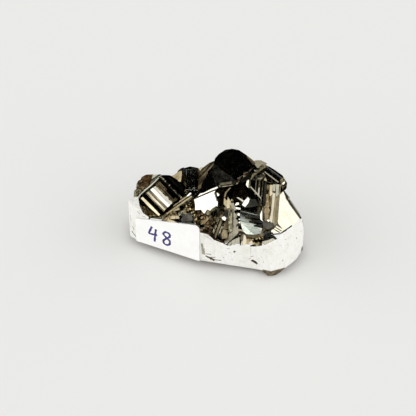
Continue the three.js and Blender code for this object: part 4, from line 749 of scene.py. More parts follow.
FINE_CRYSTALS = {
    "first_stripe": fine_crystal((-21.4, -4, 16.4), [
        (-24.7, 12.7), (-24.1, 13.3), (-21.2, 10.5), (-18.2, 7.4), (-18.7, 6.9), (-21.9, 9.8),
    ], BRASSY),
    "rim_line_left": fine_crystal((-22.9, -0.1, 20.7), [
        (-26.2, 12.3), (-24.4, 14.5), (-21.6, 16.9), (-18.8, 19.6), (-18.5, 19.4), (-21.3, 16.6),
        (-24.2, 14.2), (-25.9, 12.1),
    ], GREEN, TO_LEFT_LIGHT),
    # Dark lines of painted shade along the foot of the pillar and along the edge of the right face
    "pillar_foot_line": fine_crystal((18.5, -16.6, 18.4), [
        (19.6, 5.2), (20.1, 5.1), (19.7, 4.3), (18.8, 3.2), (17.8, 2.5), (17.2, 2.6), (17.3, 3.1),
        (18, 3.4), (19, 4.3),
    ], BLACK_PAINTED_SHADE, TO_RIGHT_LIGHT),
    "edge_line": fine_crystal((24.5, -5.8, 19), [
        (21.9, 15.5), (22.4, 15.4), (23.3, 13.7), (24.7, 11.1), (26.5, 8.5), (27.9, 6.4), (27.5, 5.9),
        (26, 8), (24.1, 10.7), (22.7, 13.4),
    ], BLACK_PAINTED_SHADE, TO_RIGHT_LIGHT),
    "pillar_top_1": fine_crystal((17.3, -2.2, 22.8), [
        (16.8, 17.3), (17.7, 17.2), (17.4, 15.4), (16.6, 15.6),
    ], BRONZE, sides=[PALE]),
    "pillar_top_2": fine_crystal((18.1, -2.6, 23.1), [
        (17.6, 17.2), (18.6, 17.2), (18.4, 13.2), (17.5, 13.5),
    ], BRASSY, sides=[PALE]),
    "pillar_top_3": fine_crystal((19.1, -3.1, 23.5), [
        (18.6, 17.2), (19.6, 17.2), (19.3, 14.9), (18.4, 15.1),
    ], PEWTER, sides=[PALE]),
    "pillar_top_4": fine_crystal((20.1, -3.6, 23.9), [
        (19.6, 17.2), (20.6, 17.2), (20.3, 13.1), (19.4, 13.3),
    ], PEWTER, sides=[PALE]),
    "ledge_plate_1": fine_crystal((4.5, -15.7, 11.3), [
        (3.8, -1.8), (5.1, -1.1), (5.2, -3), (3.9, -3),
    ], PEWTER, sides=[PALE]),
    "ledge_plate_2": fine_crystal((5.8, -16.2, 11.7), [
        (5.1, -1.1), (6.4, -0.4), (6.4, -2.9), (5.2, -2.9),
    ], PEWTER, sides=[PALE]),
    "ledge_plate_3": fine_crystal((7, -16.6, 12.1), [
        (6.4, -0.4), (7.7, 0.2), (7.7, -2.9), (6.4, -2.9),
    ], PEWTER, sides=[PALE]),
    "tooth_1": fine_crystal((6.4, -9.5, 18.9), [
        (5.9, 8.1), (6.2, 8.9), (6.8, 8.6), (6.7, 7.8), (6.2, 7.9),
    ], BLACK_PAINTED_SHADE, TO_DARK),
    "tooth_2": fine_crystal((7.4, -10.2, 18.2), [(7, 7.2), (7.2, 7.9), (7.8, 7.7), (7.7, 6.9), (7.3, 7)]),
    "tooth_3": fine_crystal((6.9, -11.1, 17.3), [
        (6.4, 6), (6.7, 6.4), (7.5, 6.3), (7.3, 5.9), (6.8, 5.9),
    ], BLACK_PAINTED_SHADE, TO_DARK),
    "tooth_4": fine_crystal((7.6, -11.7, 16.2), [
        (7.3, 4.7), (7.5, 5.1), (7.9, 5), (7.8, 4.6), (7.5, 4.6),
    ]),
    "tooth_5": fine_crystal((7, -12.6, 15.4), [
        (6.6, 3.4), (6.8, 4.4), (7.4, 4.1), (7.3, 3), (6.9, 3.1),
    ], BLACK_PAINTED_SHADE, TO_DARK),
    "tooth_6": fine_crystal((6.5, -13.8, 14.1), [
        (6, 1.7), (6.3, 2.2), (7.1, 2.1), (6.9, 1.5), (6.4, 1.6),
    ]),
    "tooth_7": fine_crystal((5.8, -14.1, 13.4), [
        (5.3, 1.1), (5.6, 1.5), (6.3, 1.4), (6.1, 0.9), (5.6, 1),
    ], BLACK_PAINTED_SHADE, TO_DARK),
    "tooth_8": fine_crystal((7.1, -14, 13.6), [
        (6.8, 1.3), (7, 1.8), (7.5, 1.7), (7.4, 1), (7, 1.1),
    ], BLACK_PAINTED_SHADE, TO_DARK),
    "tooth_9": fine_crystal((6.5, -14.7, 13.1), [
        (6, 0.5), (6.3, 0.8), (6.9, 0.7), (6.8, 0.4), (6.3, 0.4),
    ]),
    "pillar_shade": fine_crystal((17, -15.8, 18.5), [
        (14.9, 5.2), (16.2, 5.5), (17.1, 5), (18.3, 4.8), (18.8, 4.1), (18.1, 3.4), (17.5, 2.7),
        (16, 2.8), (15.1, 3.4),
    ], BLACK_PAINTED_SHADE),
    "pillar_glint": fine_crystal((16.8, -14.2, 19), [(16.3, 5.4), (16.7, 5.9), (17.3, 5.5), (17, 5)]),
    "pillar_scale_1": fine_crystal((16.6, -5.5, 21.4), [
        (15.9, 13.9), (17.2, 14.1), (17.3, 11.9), (15.9, 11.7),
    ], BRONZE, sides=[BRONZE]),
    "pillar_scale_2": fine_crystal((16.5, -8, 20.6), [
        (15.8, 11.7), (17.2, 11.9), (17.2, 9.7), (15.8, 9.5),
    ], BRONZE, sides=[BRONZE]),
    "pillar_scale_3": fine_crystal((16.4, -10.5, 19.8), [
        (15.7, 9.4), (17.1, 9.6), (17.1, 7.4), (15.7, 7.2),
    ], BRONZE, sides=[BRONZE]),
    "pillar_scale_4": fine_crystal((16.4, -12.8, 19), [
        (15.7, 7.3), (17, 7.5), (17.1, 5.3), (15.7, 5.1),
    ], BRONZE, sides=[BRONZE]),
    "green_shade_1": fine_crystal((13.4, -10.4, 17.3), [
        (9.5, 6.9), (15.2, 7.3), (15.4, 6), (12.4, 6.2),
    ], BLACK_PAINTED_SHADE),
    "green_shade_2": fine_crystal((13.3, -11.7, 16.5), [
        (10.7, 5.4), (15.3, 5.8), (15.5, 4.5), (13.7, 4.7),
    ], BLACK_PAINTED_SHADE),
    "green_shade_3": fine_crystal((13.3, -13, 15.7), [
        (12.3, 4), (15.6, 4.4), (15.8, 3.1), (15.2, 3.3),
    ], BLACK_PAINTED_SHADE),
    "rim_shade": fine_crystal((11, -16.4, 12.9), [
        (9.7, 0.4), (11.7, 0.1), (13.6, 0.3), (13.4, -0.5), (11.5, -0.8), (10.7, -1.6), (10.5, -2.7),
        (9.4, -2.7), (9.9, -1.1),
    ], BRONZE),
    "hollow_strip": fine_crystal((-14.6, -8.7, 15.5), [
        (-17.2, 5.6), (-15.9, 6.6), (-13.9, 7.1), (-12.1, 6.9), (-11.6, 6), (-14.2, 5.9), (-16.2, 5.1),
    ], BRONZE),
    "front_scale_1": fine_crystal((4.8, -7.9, 17.4), [
        (4.2, 9.4), (5.3, 9.6), (5.4, 7.1), (4.1, 6.9),
    ], OLIVE, sides=[PALE]),
    "front_scale_2": fine_crystal((4.8, -10.5, 16.2), [
        (4.2, 6.8), (5.3, 7), (5.3, 4.5), (4.1, 4.3),
    ], OLIVE, sides=[PALE]),
    "front_scale_3": fine_crystal((4.7, -13, 14.9), [
        (4.2, 4.2), (5.3, 4.4), (5.3, 1.9), (4.1, 1.7),
    ], OLIVE, sides=[PALE]),
    # A dark sliver of painted shade over the foot of the striped crystal
    "green_foot": fine_crystal((12.3, -15.8, 14.2), [
        (8.8, 1.3), (10.4, 1), (12.9, 0.9), (15.6, 1.6), (15.7, 0.5), (12.9, -0.2), (10, 0),
    ], BROWN_PAINTED_SHADE),
    "rim_lip": fine_crystal((16.7, -18.7, 14.3), [
        (14.8, -1.2), (16.4, -0.9), (18.6, 0), (19.2, -0.7), (18.6, -2.6), (14.8, -3),
    ], PEWTER),
    "glint_shade": fine_crystal((15.2, -11, 18.3), [
        (15, 9.2), (15.6, 8.2), (15.6, 5), (15, 5.8), (15, 7.6),
    ], BLACK_PAINTED_SHADE),
    "spark_shade": fine_crystal((7.1, -6, 18), [
        (6.2, 10), (6.8, 10.4), (7.7, 10.6), (7.8, 9.7), (6.6, 9.3),
    ], BLACK_PAINTED_SHADE, TO_DARK),
    "green_top_shade": fine_crystal((11.2, -6.2, 19.5), [
        (11.1, 11.6), (11.8, 12.4), (13.1, 12.4), (13.9, 10.3), (11.8, 9.8), (9.5, 9.6), (10.4, 10.5),
    ], BLACK_PAINTED_SHADE),
    "barrel_shadow": fine_crystal((-14.3, -1.3, 19), [
        (-16.4, 15.2), (-15.4, 16.2), (-12.2, 13), (-13.3, 11.9),
    ], BLACK_PAINTED_SHADE, TO_DARK),
    # A near-black sliver of painted shade over the dark front crystal
    "front_dark_face": fine_crystal((-9.3, -9.2, 15.8), [
        (-11.3, 5.8), (-10.5, 7.1), (-8.8, 7.5), (-7.7, 7.1), (-7.4, 5.6), (-8.4, 5.1), (-11, 5.1),
    ], BLACK_PAINTED_SHADE),
    "side_scale_1": fine_crystal((3.6, -8.1, 16.6), [
        (3.2, 9.2), (4.5, 8.7), (4.3, 6.2), (2.8, 5.9), (2.7, 7.2),
    ], BLACK_PAINTED_SHADE, sides=[BROWN_PAINTED_SHADE]),
    "side_scale_2": fine_crystal((3.6, -11.5, 15.3), [
        (3.1, 6.1), (4.6, 5.6), (4.4, 2.8), (2.8, 2.5), (2.7, 4),
    ], BROWN_PAINTED_SHADE, sides=[BROWN_PAINTED_SHADE]),
    "side_scale_3": fine_crystal((2.9, -14.6, 13.7), [
        (2.3, 2.7), (3.9, 2.2), (3.7, -0.2), (2, -0.5), (1.9, 0.8),
    ], BROWN_PAINTED_SHADE, sides=[BROWN_PAINTED_SHADE]),
    "olive_line": fine_crystal((3.4, 0, 21.8), [
        (1.2, 16.3), (1.8, 16.6), (5.5, 17.2), (5.7, 16.9), (3.4, 16.5),
    ], OLIVE),
    "brown_line": fine_crystal((3.7, -1.7, 20.7), [
        (4.6, 16.2), (5, 16.1), (3.6, 14.4), (3.2, 13), (2.7, 13.1), (3.1, 14.7),
    ], BRONZE),
    "pale_line": fine_crystal((12.7, -4.7, 23.1), [
        (11.1, 16.4), (11.4, 16.6), (13.1, 14.8), (14.7, 12.9), (14.6, 12.5), (12.8, 14.4),
    ], PEWTER),
    # A near-black sliver of painted shade in the gap between the mirror face and the upright glint
    "mirror_gap": fine_crystal((0.2, -2.1, 20.1), [
        (-0.3, 15.4), (0.2, 15.3), (0.6, 13.1), (0.3, 12.8),
    ], BLACK_PAINTED_SHADE, TO_DARK),
    "ledge_seam": fine_crystal((8, -15.4, 11.9), [
        (7.4, 0.4), (8.6, 0.5), (8.6, -2.8), (7.5, -2.8),
    ], looks=(-50, 62)),
    "box_stripes": one_crystal((0.9, -12.4, 14.3), FINE_DEPTH, [], [
        (-0.7, 1.4), (0.1, 4), (0.9, 5.8), (1.9, 5.8), (3.1, 5.1), (2.2, 2.4), (1.1, -0.5), (-0.1, -0.2),
    ], flight=ledges((0, 55, 0), 69, -3.4, [
        (0, 1.7, BROWN_PAINTED_SHADE), (22, 0.5, BLACK_PAINTED_SHADE), (2, 0.5, OLIVE), (24, 0.4, BLACK_PAINTED_SHADE), (0, 0.7, BROWN_PAINTED_SHADE),
        (22, 0.3, BLACK_PAINTED_SHADE), (2, 0.6, OLIVE), (24, 0.4, BLACK_PAINTED_SHADE), (0, 1.7, BROWN_PAINTED_SHADE),
    ], 0.2, 1)),
}

# Blocky crystals of the back and the ends: place, half size, and turns about X, Y and Z
BLOCK_BEVEL = 1.16
BLOCKS = [
    ((-22.5, 10.5, 9.5), 3.6, (20, 30, 15)),
    ((-16, 13, 10), 4, (50, 10, 40)),
    ((-9.2, 14.3, 11), 4.5, (15, 40, 68)),
    ((-3, 16, 10.2), 4.4, (35, 20, 10)),
    ((4, 17, 13), 4.6, (60, 35, 20)),
    ((10, 15.5, 12.5), 4.6, (25, 15, 55)),
    ((16, 13, 11.5), 4.4, (40, 50, 5)),
    ((20.1, 7.8, 9.4), 3.9, (10, 25, 35)),
    ((24.6, 2, 6), 3, (55, 5, 25)),
    ((1.5, 11.5, 16.2), 3.9, (45, 30, 0)),
    ((-27, 4.5, 9), 2.8, (25, 10, 50)),
]

# The mass: (x, y) on the ground side, the height of its rim there, and its height further in
RIM = [
    (-28.9, 0, 14.4, 14.6), (-28.7, -2.8, 16.4, 14.6), (-26.9, -4.6, 17.2, 13.6),
    (-25.8, -5.1, 15.9, 13.5), (-24.8, -5.6, 14.3, 13.4), (-23.5, -6.2, 13.6, 13.3),
    (-21.2, -7.3, 13.4, 13.3), (-15.7, -9.9, 13.4, 13.2),
    (-10, -12.6, 14, 13), (-5.1, -14.9, 14.8, 12.8), (-2.5, -15.4, 14.4, 12.2), (-0.6, -15.8, 12.2, 11.8),
    (2, -16.3, 11.3, 11.8), (4, -16.7, 10.2, 12), (7.5, -17.2, 10.6, 12), (11, -17.8, 11.2, 12),
    (13, -18, 11.3, 11.2), (15.1, -19.4, 13.2, 11.2), (18.3, -18.5, 14.2, 11.8), (20.5, -17.5, 15.4, 12.6),
    (22.2, -15.6, 15.8, 13.8), (23.9, -13.7, 15.9, 14), (25.3, -12.1, 15.8, 14), (27.4, -9.8, 16, 14),
    (28.6, -4, 10.2, 13.4), (27, 3, 7.2, 12.6), (23.4, 10.4, 8.6, 12.4), (17.5, 16.2, 8.2, 12.4),
    (9.2, 19.7, 8, 13), (1, 20.4, 7.6, 13.2), (-7, 18.2, 7.2, 12.8), (-14, 15.4, 7, 11.6),
    (-20.5, 13.8, 6.8, 12.4), (-26, 9.6, 7.5, 13), (-28.6, 5, 10, 13.8),
]
# The sizes of its rings, from the foot inward, and its height in the middle
FOOT_RING, RIM_RING, SHOULDER_RING, INNER_RING = 1.14, 1.02, 0.74, 0.4
CROWN = 16.4

# Shallow marks on the ground side: the middle, the (length, width), the turn, the lean and the
# finish of each. What cuts them reaches this deep, where it has a share of the mark's size, and
# stands this far out of the stone, where it is larger.
MARK_DEPTH, MARK_BOTTOM = 0.12, 0.7
MARK_REACH, MARK_MOUTH = 1, 1.1
MARKS = [
    # The black marks along the top edge at the front right are lines of painted shade in the crease under the
    # crystals
    ((17.87, -18.29, 17.44), (2.6, 0.6), 20, 66, BLACK_PAINTED_SHADE),
    ((19.39, -17.87, 16.57), (3.4, 0.6), 20, 10, BLACK_PAINTED_SHADE),
    ((21.46, -16.33, 16.12), (4.2, 0.8), 48, 9, BLACK_PAINTED_SHADE),
    ((23.41, -14.23, 15.9), (4.6, 0.7), 48, 3, BLACK_PAINTED_SHADE),
    ((26.35, -12.61, 10.22), (1.1, 0.3), 48, 70, PALE),
    ((22.48, -16.19, 12.73), (1.5, 0.2), 48, 18, PALE),
    ((-4.3, -15.1, 7.7), (6.3, 1.0), -11, 85, PALE),
    ((-3.8, -15.2, 6.6), (3.9, 0.7), -11, 85, PALE),
    ((-2.3, -15.4, 5.7), (2.3, 0.28), -11, -1, OLIVE),
    ((-1.4, -15.6, 4.4), (3.6, 0.32), -11, -11, BRONZE),
    ((0.0, -15.9, 3.6), (5.0, 0.4), -11, -2, OLIVE),
    ((-2.5, -15.4, 12.8), (3.9, 0.14), -11, 33, PALE),
    ((-2.3, -15.4, 13.9), (1.9, 0.12), -11, 32, PALE),
    ((4.1, -16.7, 9.2), (1.3, 0.16), -9, 3, OLIVE),
    ((4.6, -16.8, 7.5), (0.7, 0.2), -9, 3, OLIVE),
    ((3.2, -16.5, 6.6), (1.0, 0.14), -9, 6, PALE),
    ((11.8, -17.9, 6.9), (1.7, 0.26), -6, -21, PALE),
    ((11.0, -17.8, 5.8), (1.1, 0.3), -9, -26, PALE),
    ((11.3, -17.8, 9.2), (4.3, 0.12), -9, 87, PALE),
    ((15.8, -19.7, 11.5), (2.3, 0.14), -18, -29, PALE),
    ((18.6, -20.2, 9.0), (2.3, 0.16), 21, 0, PALE),
    ((23.0, -18.4, 9.9), (1.0, 0.24), 48, 80, PALE),
    ((20.9, -19.3, 13.0), (1.4, 0.12), 21, -7, PALE),
    ((27.0, -13.5, 16.2), (1.0, 0.3), 62, 70, PALE),
    ((-27.4, -3.9, 6.8), (1.9, 0.5), -40, 65, GREEN),
    ((-27.3, -4.0, 4.4), (3.3, 0.7), -40, 38, GREEN),
    ((-28.2, -3.3, 10.8), (3.4, 0.3), -40, 86, GREEN),
    ((-25.2, -5.4, 14.8), (2.2, 0.2), -25, 44, PEWTER),
    ((-23.6, -6.1, 13.9), (2.0, 0.2), -25, 6, PEWTER),
    ((-24.7, -5.6, 15.6), (1.8, 0.14), -25, 44, PALE),
]


# A piece in the scene
def new_piece(name, data):
    piece = bpy.data.objects.new(name, data)
    bpy.context.scene.collection.objects.link(piece)
    return piece


# A piece of one finish, drawn in millimetres
def sheet_piece(name, points, faces, finish):
    mesh = bpy.data.meshes.new(name)
    mesh.from_pydata([p * MM for p in points], [], faces)
    mesh.materials.append(finish)
    return new_piece(name, mesh)


# A closed solid of the stone: for each face its finish, the way across its growth lines, and
# whether small crystals grow on it
def stone_solid(points, faces, finishes, grains=None, nested=None):
    mesh = bpy.data.meshes.new("stone")
    mesh.from_pydata([tuple(p) for p in points], [], faces)
    for material in stone_finishes:
        mesh.materials.append(material)
    mesh.polygons.foreach_set("material_index", finishes)
    across = grains or [face.normal.orthogonal().normalized() for face in mesh.polygons]
    grain = mesh.attributes.new("grain", "FLOAT_VECTOR", "FACE")
    grain.data.foreach_set("vector", [value for vector in across for value in vector])
    nest = mesh.attributes.new("nest", "FLOAT", "FACE")
    nest.data.foreach_set("value", nested or [0.0] * len(faces))
    return new_piece("stone", mesh)


# The mesh of a piece with its modifiers applied
def finished_mesh(piece):
    shown = bpy.context.evaluated_depsgraph_get()
    return bpy.data.meshes.new_from_object(piece.evaluated_get(shown))


# The first solid joined with, cut by or kept inside the second, which is used up
def combine(first, second, operation):
    cut = first.modifiers.new("combine", "BOOLEAN")
    cut.operation = operation
    cut.object = second
    cut.solver = "MANIFOLD"
    mesh = finished_mesh(first)
    first.modifiers.clear()
    first.data = mesh
    bpy.data.objects.remove(second)
    return first


# A prism on an outline: right and up give its plane, and it runs from back to front
def prism(
    outline, origin, right, up, back, front, finish, across=None, back_size=1, front_size=1, wall_finish=None,
):
    area = sum(a[0] * b[1] - b[0] * a[1] for a, b in zip(outline, outline[1:] + outline[:1]))
    ring = list(outline) if area > 0 else list(reversed(outline))
    out = right.cross(up)
    middle = [sum(p[k] for p in ring) / len(ring) for k in (0, 1)]
    points = []
    for distance, size in ((back, back_size), (front, front_size)):
        for x, y in ring:
            x = middle[0] + (x - middle[0]) * size
            y = middle[1] + (y - middle[1]) * size
            points.append(origin + right * x + up * y + out * distance)
    count = len(ring)
    faces = [list(reversed(range(count))), list(range(count, 2 * count))]
    grains = [right, right]
    finishes = [finish, finish]
    for i in range(count):
        j = (i + 1) % count
        along = (points[j] - points[i]).normalized()
        faces.append([i, j, count + j, count + i])
        grains.append(across or along)
        finishes.append(wall_finish(i, along.cross(out)) if wall_finish else finish)
    return stone_solid(points, faces, finishes, grains)


# The solid that closes round some points, where its upright faces may have their own finish
def hull(points, finish, across=None, upright_finish=None):
    bm = bmesh.new()
    for p in points:
        bm.verts.new(p)
    bmesh.ops.convex_hull(bm, input=bm.verts)
    loose = [v for v in bm.verts if not v.link_faces]
    bmesh.ops.delete(bm, geom=loose, context="VERTS")
    bmesh.ops.recalc_face_normals(bm, faces=bm.faces)
    bm.verts.index_update()
    corners = [v.co.copy() for v in bm.verts]
    faces = [[v.index for v in f.verts] for f in bm.faces]
    upright = [upright_finish is not None and abs(f.normal.z) < UPRIGHT for f in bm.faces]
    bm.free()
    finishes = [upright_finish if stands else finish for stands in upright]
    return stone_solid(corners, faces, finishes, [across] * len(faces) if across else None)


# The outward direction of a plane that is turned from the front and rises above the level
def facing(turn, rise):
    t, r = math.radians(turn), math.radians(rise)
    return Vector((math.sin(t) * math.cos(r), -math.cos(t) * math.cos(r), math.sin(r)))


# The direction across the growth lines on such a plane, where run is the turn of the lines on it
def across_lines(turn, rise, run):
    t, a = math.radians(turn), math.radians(run)
    level = Vector((math.cos(t), math.sin(t), 0))
    normal = facing(turn, rise)
    along = level * math.cos(a) + normal.cross(level) * math.sin(a)
    return along.cross(normal)


# The block under a flight of growth ledges on a facet, each ledge (slope, width, finish)
def ledged_block(at, facet, run, start, steps, finish):
    turn, rise, out = facet
    normal = facing(turn, rise)
    across = across_lines(turn, rise, run)
    path = [(start, 0)]
    for slope, width, ledge_finish in steps:
        s, h = path[-1]
        tilt = math.radians(slope)
        path.append((s + width * math.cos(tilt), h - width * math.sin(tilt)))
    top = max(h for s, h in path)
    lifted = [(s, h - top) for s, h in path]
    deep = CUTTER / 2
    ends = [(deep, lifted[-1][1])] + lifted[::-1] + [(-deep, lifted[0][1])]
    outline = [(-deep, -deep), (deep, -deep)] + ends
    finishes = [finish] * 3 + [ledge_finish for slope, width, ledge_finish in reversed(steps)] + [finish] * 2
    return prism(
        outline, at + normal * out, across, normal, -deep, deep, finish, across,
        wall_finish=lambda number, outward: finishes[number],
    )


# A flight broken into narrower ledges, each of which leans a little more or less, between whole risers
def broken_up(steps, width, wander, seed, finish):
    draw = random.Random(seed)
    flight = []
    for slope, left, *own in steps:
        ledge_finish = own[0] if own else finish
        if slope < STEEPEST_LEDGE:
            flight.append((slope, left, ledge_finish))
            continue
        while left > SMALLEST_PART:
            part = min(left, width * draw.uniform(LEAST_SHARE, MOST_SHARE))
            flight.append((slope + draw.uniform(-wander, wander), part, ledge_finish))
            left -= part
    return flight


# One crystal: its drawn outline carried back into the mass, cut by its facets and ledges
def crystal(index, spec):
    at = Vector(spec["at"])
    finish = spec["finish"]
    near = at.dot(DRAW_OUT)
    depth = spec["depth"]
    narrowing = LEAST_NARROWING + MORE_NARROWING * (index % NARROWING_ROUND)

    # A wall takes its own finish from sides, or a back finish in turn if it faces back; the walls that face
    # the front and the sides take the dark brown painted shade
    def wall_finish(number, outward):
        if "sides" in spec:
            return spec["sides"][number % len(spec["sides"])]
        return BACK_WALLS[(index + number) % len(BACK_WALLS)] if outward.y > BACKWARD else BROWN_PAINTED_SHADE

    solid = prism(
        spec["outline"], Vector(), DRAW_RIGHT, DRAW_UP, near - depth, near + depth, finish,
        back_size=1 - narrowing, front_size=1 + narrowing, wall_finish=wall_finish,
    )
    for number, facet in enumerate(spec["facets"]):
        seed = index * SEEDS_EACH + number
        lines = broken_up([(0, LINE_REACH)], LINE_WIDTH, LINE_UNEVENNESS, seed, finish)
        run = LINE_RUN + NEXT_RUN * number
        solid = combine(solid, ledged_block(at, facet, run, -LINE_REACH / 2, lines, finish), "INTERSECT")
    if "flight" in spec:
        flight = spec["flight"]
        steps = broken_up(flight["steps"], flight["fine"], flight["wander"], index, finish)
        under = ledged_block(at, flight["facet"], flight["run"], flight["start"], steps, finish)
        solid = combine(solid, under, "INTERSECT")
    return solid


# The corners of a blocky crystal of half size 1: a cube whose edges have the slant faces of pyrite
def block_corners(bevel):
    planes = []
    slant = math.atan2(1, 2)
    for axis in range(3):
        for side in (1, -1):
            face = Vector((0, 0, 0))
            face[axis] = side
            planes.append((face, 1))
            for lean in (1, -1):
                n = Vector((0, 0, 0))
                n[axis] = side * math.cos(slant)
                n[(axis + 1) % 3] = lean * math.sin(slant)
                planes.append((n, bevel))
    corners = []
    for (a, da), (b, db), (c, dc) in combinations(planes, 3):
        volume = a.dot(b.cross(c))
        if abs(volume) < NO_CORNER:
            continue
        p = (b.cross(c) * da + c.cross(a) * db + a.cross(b) * dc) / volume
        inside = all(n.dot(p) <= d + TOUCHING for n, d in planes)
        if inside and all((p - q).length > SAME_CORNER for q in corners):
            corners.append(p)
    return corners


# One blocky crystal, at its place and turned
def block(place, half_size, turns, unit_corners):
    turn = Euler([math.radians(a) for a in turns]).to_matrix()
    corners = [Vector(place) + turn @ (p * half_size) for p in unit_corners]
    return hull(corners, BRASSY, turn @ Vector((1, 0, 0)))


# The mass under the crystals: it rises from its foot to the rim, and inward to its crown
def mass():
    count = len(RIM)
    rings = [
        [Vector((x * FOOT_RING, y * FOOT_RING, 0)) for x, y, rim, shoulder in RIM],
        [Vector((x * RIM_RING, y * RIM_RING, rim)) for x, y, rim, shoulder in RIM],
        [Vector((x * SHOULDER_RING, y * SHOULDER_RING, shoulder)) for x, y, rim, shoulder in RIM],
        [Vector((x * INNER_RING, y * INNER_RING, (shoulder + CROWN) / 2)) for x, y, rim, shoulder in RIM],
    ]
    faces = [list(reversed(range(count)))]
    nested = [0.0]
    for ring in range(len(rings) - 1):
        for i in range(count):
            a, b = ring * count + i, ring * count + (i + 1) % count
            faces += [[a, b, b + count], [a, b + count, a + count]]
            nested += [float(ring > 1)] * 2
    last = (len(rings) - 1) * count
    for i in range(count):
        faces.append([last + i, last + (i + 1) % count, len(rings) * count])
        nested.append(1.0)
    points = [point for ring in rings for point in ring] + [Vector((0, 0, CROWN))]
    return stone_solid(points, faces, [MASS] * len(faces), nested=nested)


# The outline of the ground side, drawn in by a distance
def inset_ring(distance, z):
    ring = []
    count = len(SIDE_OUTLINE)
    for i, (x, y) in enumerate(SIDE_OUTLINE):
        px, py = SIDE_OUTLINE[i - 1]
        nx, ny = SIDE_OUTLINE[(i + 1) % count]
        inward = Vector((py - ny, nx - px)).normalized() * distance
        ring.append(Vector((x + inward.x, y + inward.y, z)))
    return ring


# All that lies beyond a plane, to be cut away
def beyond(point, turn, rise, finish):
    normal = facing(turn, rise)
    across = across_lines(turn, rise, 0)
    half = CUTTER / 2
    square = [(-half, -half), (half, -half), (half, half), (-half, half)]
    return prism(square, point, across, normal.cross(across), 0, CUTTER, finish)


# The space inside the ground side, drawn in below its lower edge
def inside_side():
    wall = prism(SIDE_OUTLINE, Vector(), Vector((1, 0, 0)), Vector((0, 1, 0)), 0, SIDE_TOP, GROUND)
    foot_rings = inset_ring(FOOT_INSET, 0) + inset_ring(0, LOWER_EDGE) + inset_ring(0, SIDE_TOP)
    foot = hull(foot_rings, UNDERSIDE, upright_finish=GROUND)
    lump = hull([Vector(p) for p in FOOT_LUMP], UNDERSIDE)
    space = combine(combine(wall, foot, "INTERSECT"), lump, "UNION")
    for turn, rise, point in SIDE_SLOPES:
        space = combine(space, beyond(Vector(point), turn, rise, GROUND), "DIFFERENCE")
    return space


# A place where the edge of the ground side is chipped
def chip(middle, size, turn):
    w, d, h = (side / 2 for side in size)
    tipped = Euler((*CHIP_TIPS, math.radians(turn))).to_matrix()
    corners = [Vector((x, y, z)) for x in (-w, w) for y in (-d, d) for z in (-h, h)]
    return hull([Vector(middle) + tipped @ p for p in corners], UNDERSIDE)


# A shallow mark on the ground side: a scratch or a small place where the stone shows through; those in the
# near-black finish are lines of painted shade
def mark(middle, size, turn, lean, finish):
    length, width = size
    turned = Matrix.Rotation(math.radians(turn), 3, "Z")
    turned = turned @ Matrix.Rotation(math.radians(lean), 3, "Y")
    corners = [
        Vector((x * length / 2 * share, y, z * width / 2 * share))
        for y, share in ((MARK_DEPTH, MARK_BOTTOM), (-MARK_REACH, MARK_MOUTH))
        for x in (-1, 1) for z in (-1, 1)
    ]
    return hull([Vector(middle) + turned @ p for p in corners], finish)


# A mesh with all its faces made triangles
def triangulate(mesh):
    bm = bmesh.new()
    bm.from_mesh(mesh)
    bmesh.ops.triangulate(bm, faces=bm.faces)
    bm.to_mesh(mesh)
    bm.free()


# The cluster: mass, crystals and blocks grown together, then ground flat round the side
def grow_cluster():
    unit_corners = block_corners(BLOCK_BEVEL)
    whole = mass()
    for place, half_size, turns in BLOCKS:
        whole = combine(whole, block(place, half_size, turns, unit_corners), "UNION")
    for crystals in (CRYSTALS, FINE_CRYSTALS):
        for index, spec in enumerate(crystals.values()):
            whole = combine(whole, crystal(index, spec), "UNION")
    whole = combine(whole, inside_side(), "INTERSECT")
    for cut in [chip(*values) for values in CHIPS] + [mark(*values) for values in MARKS]:
        whole = combine(whole, cut, "DIFFERENCE")
    triangulate(whole.data)
    whole.data.transform(Matrix.Scale(MM, 4))
    whole.name = "crystal_cluster"
    return whole


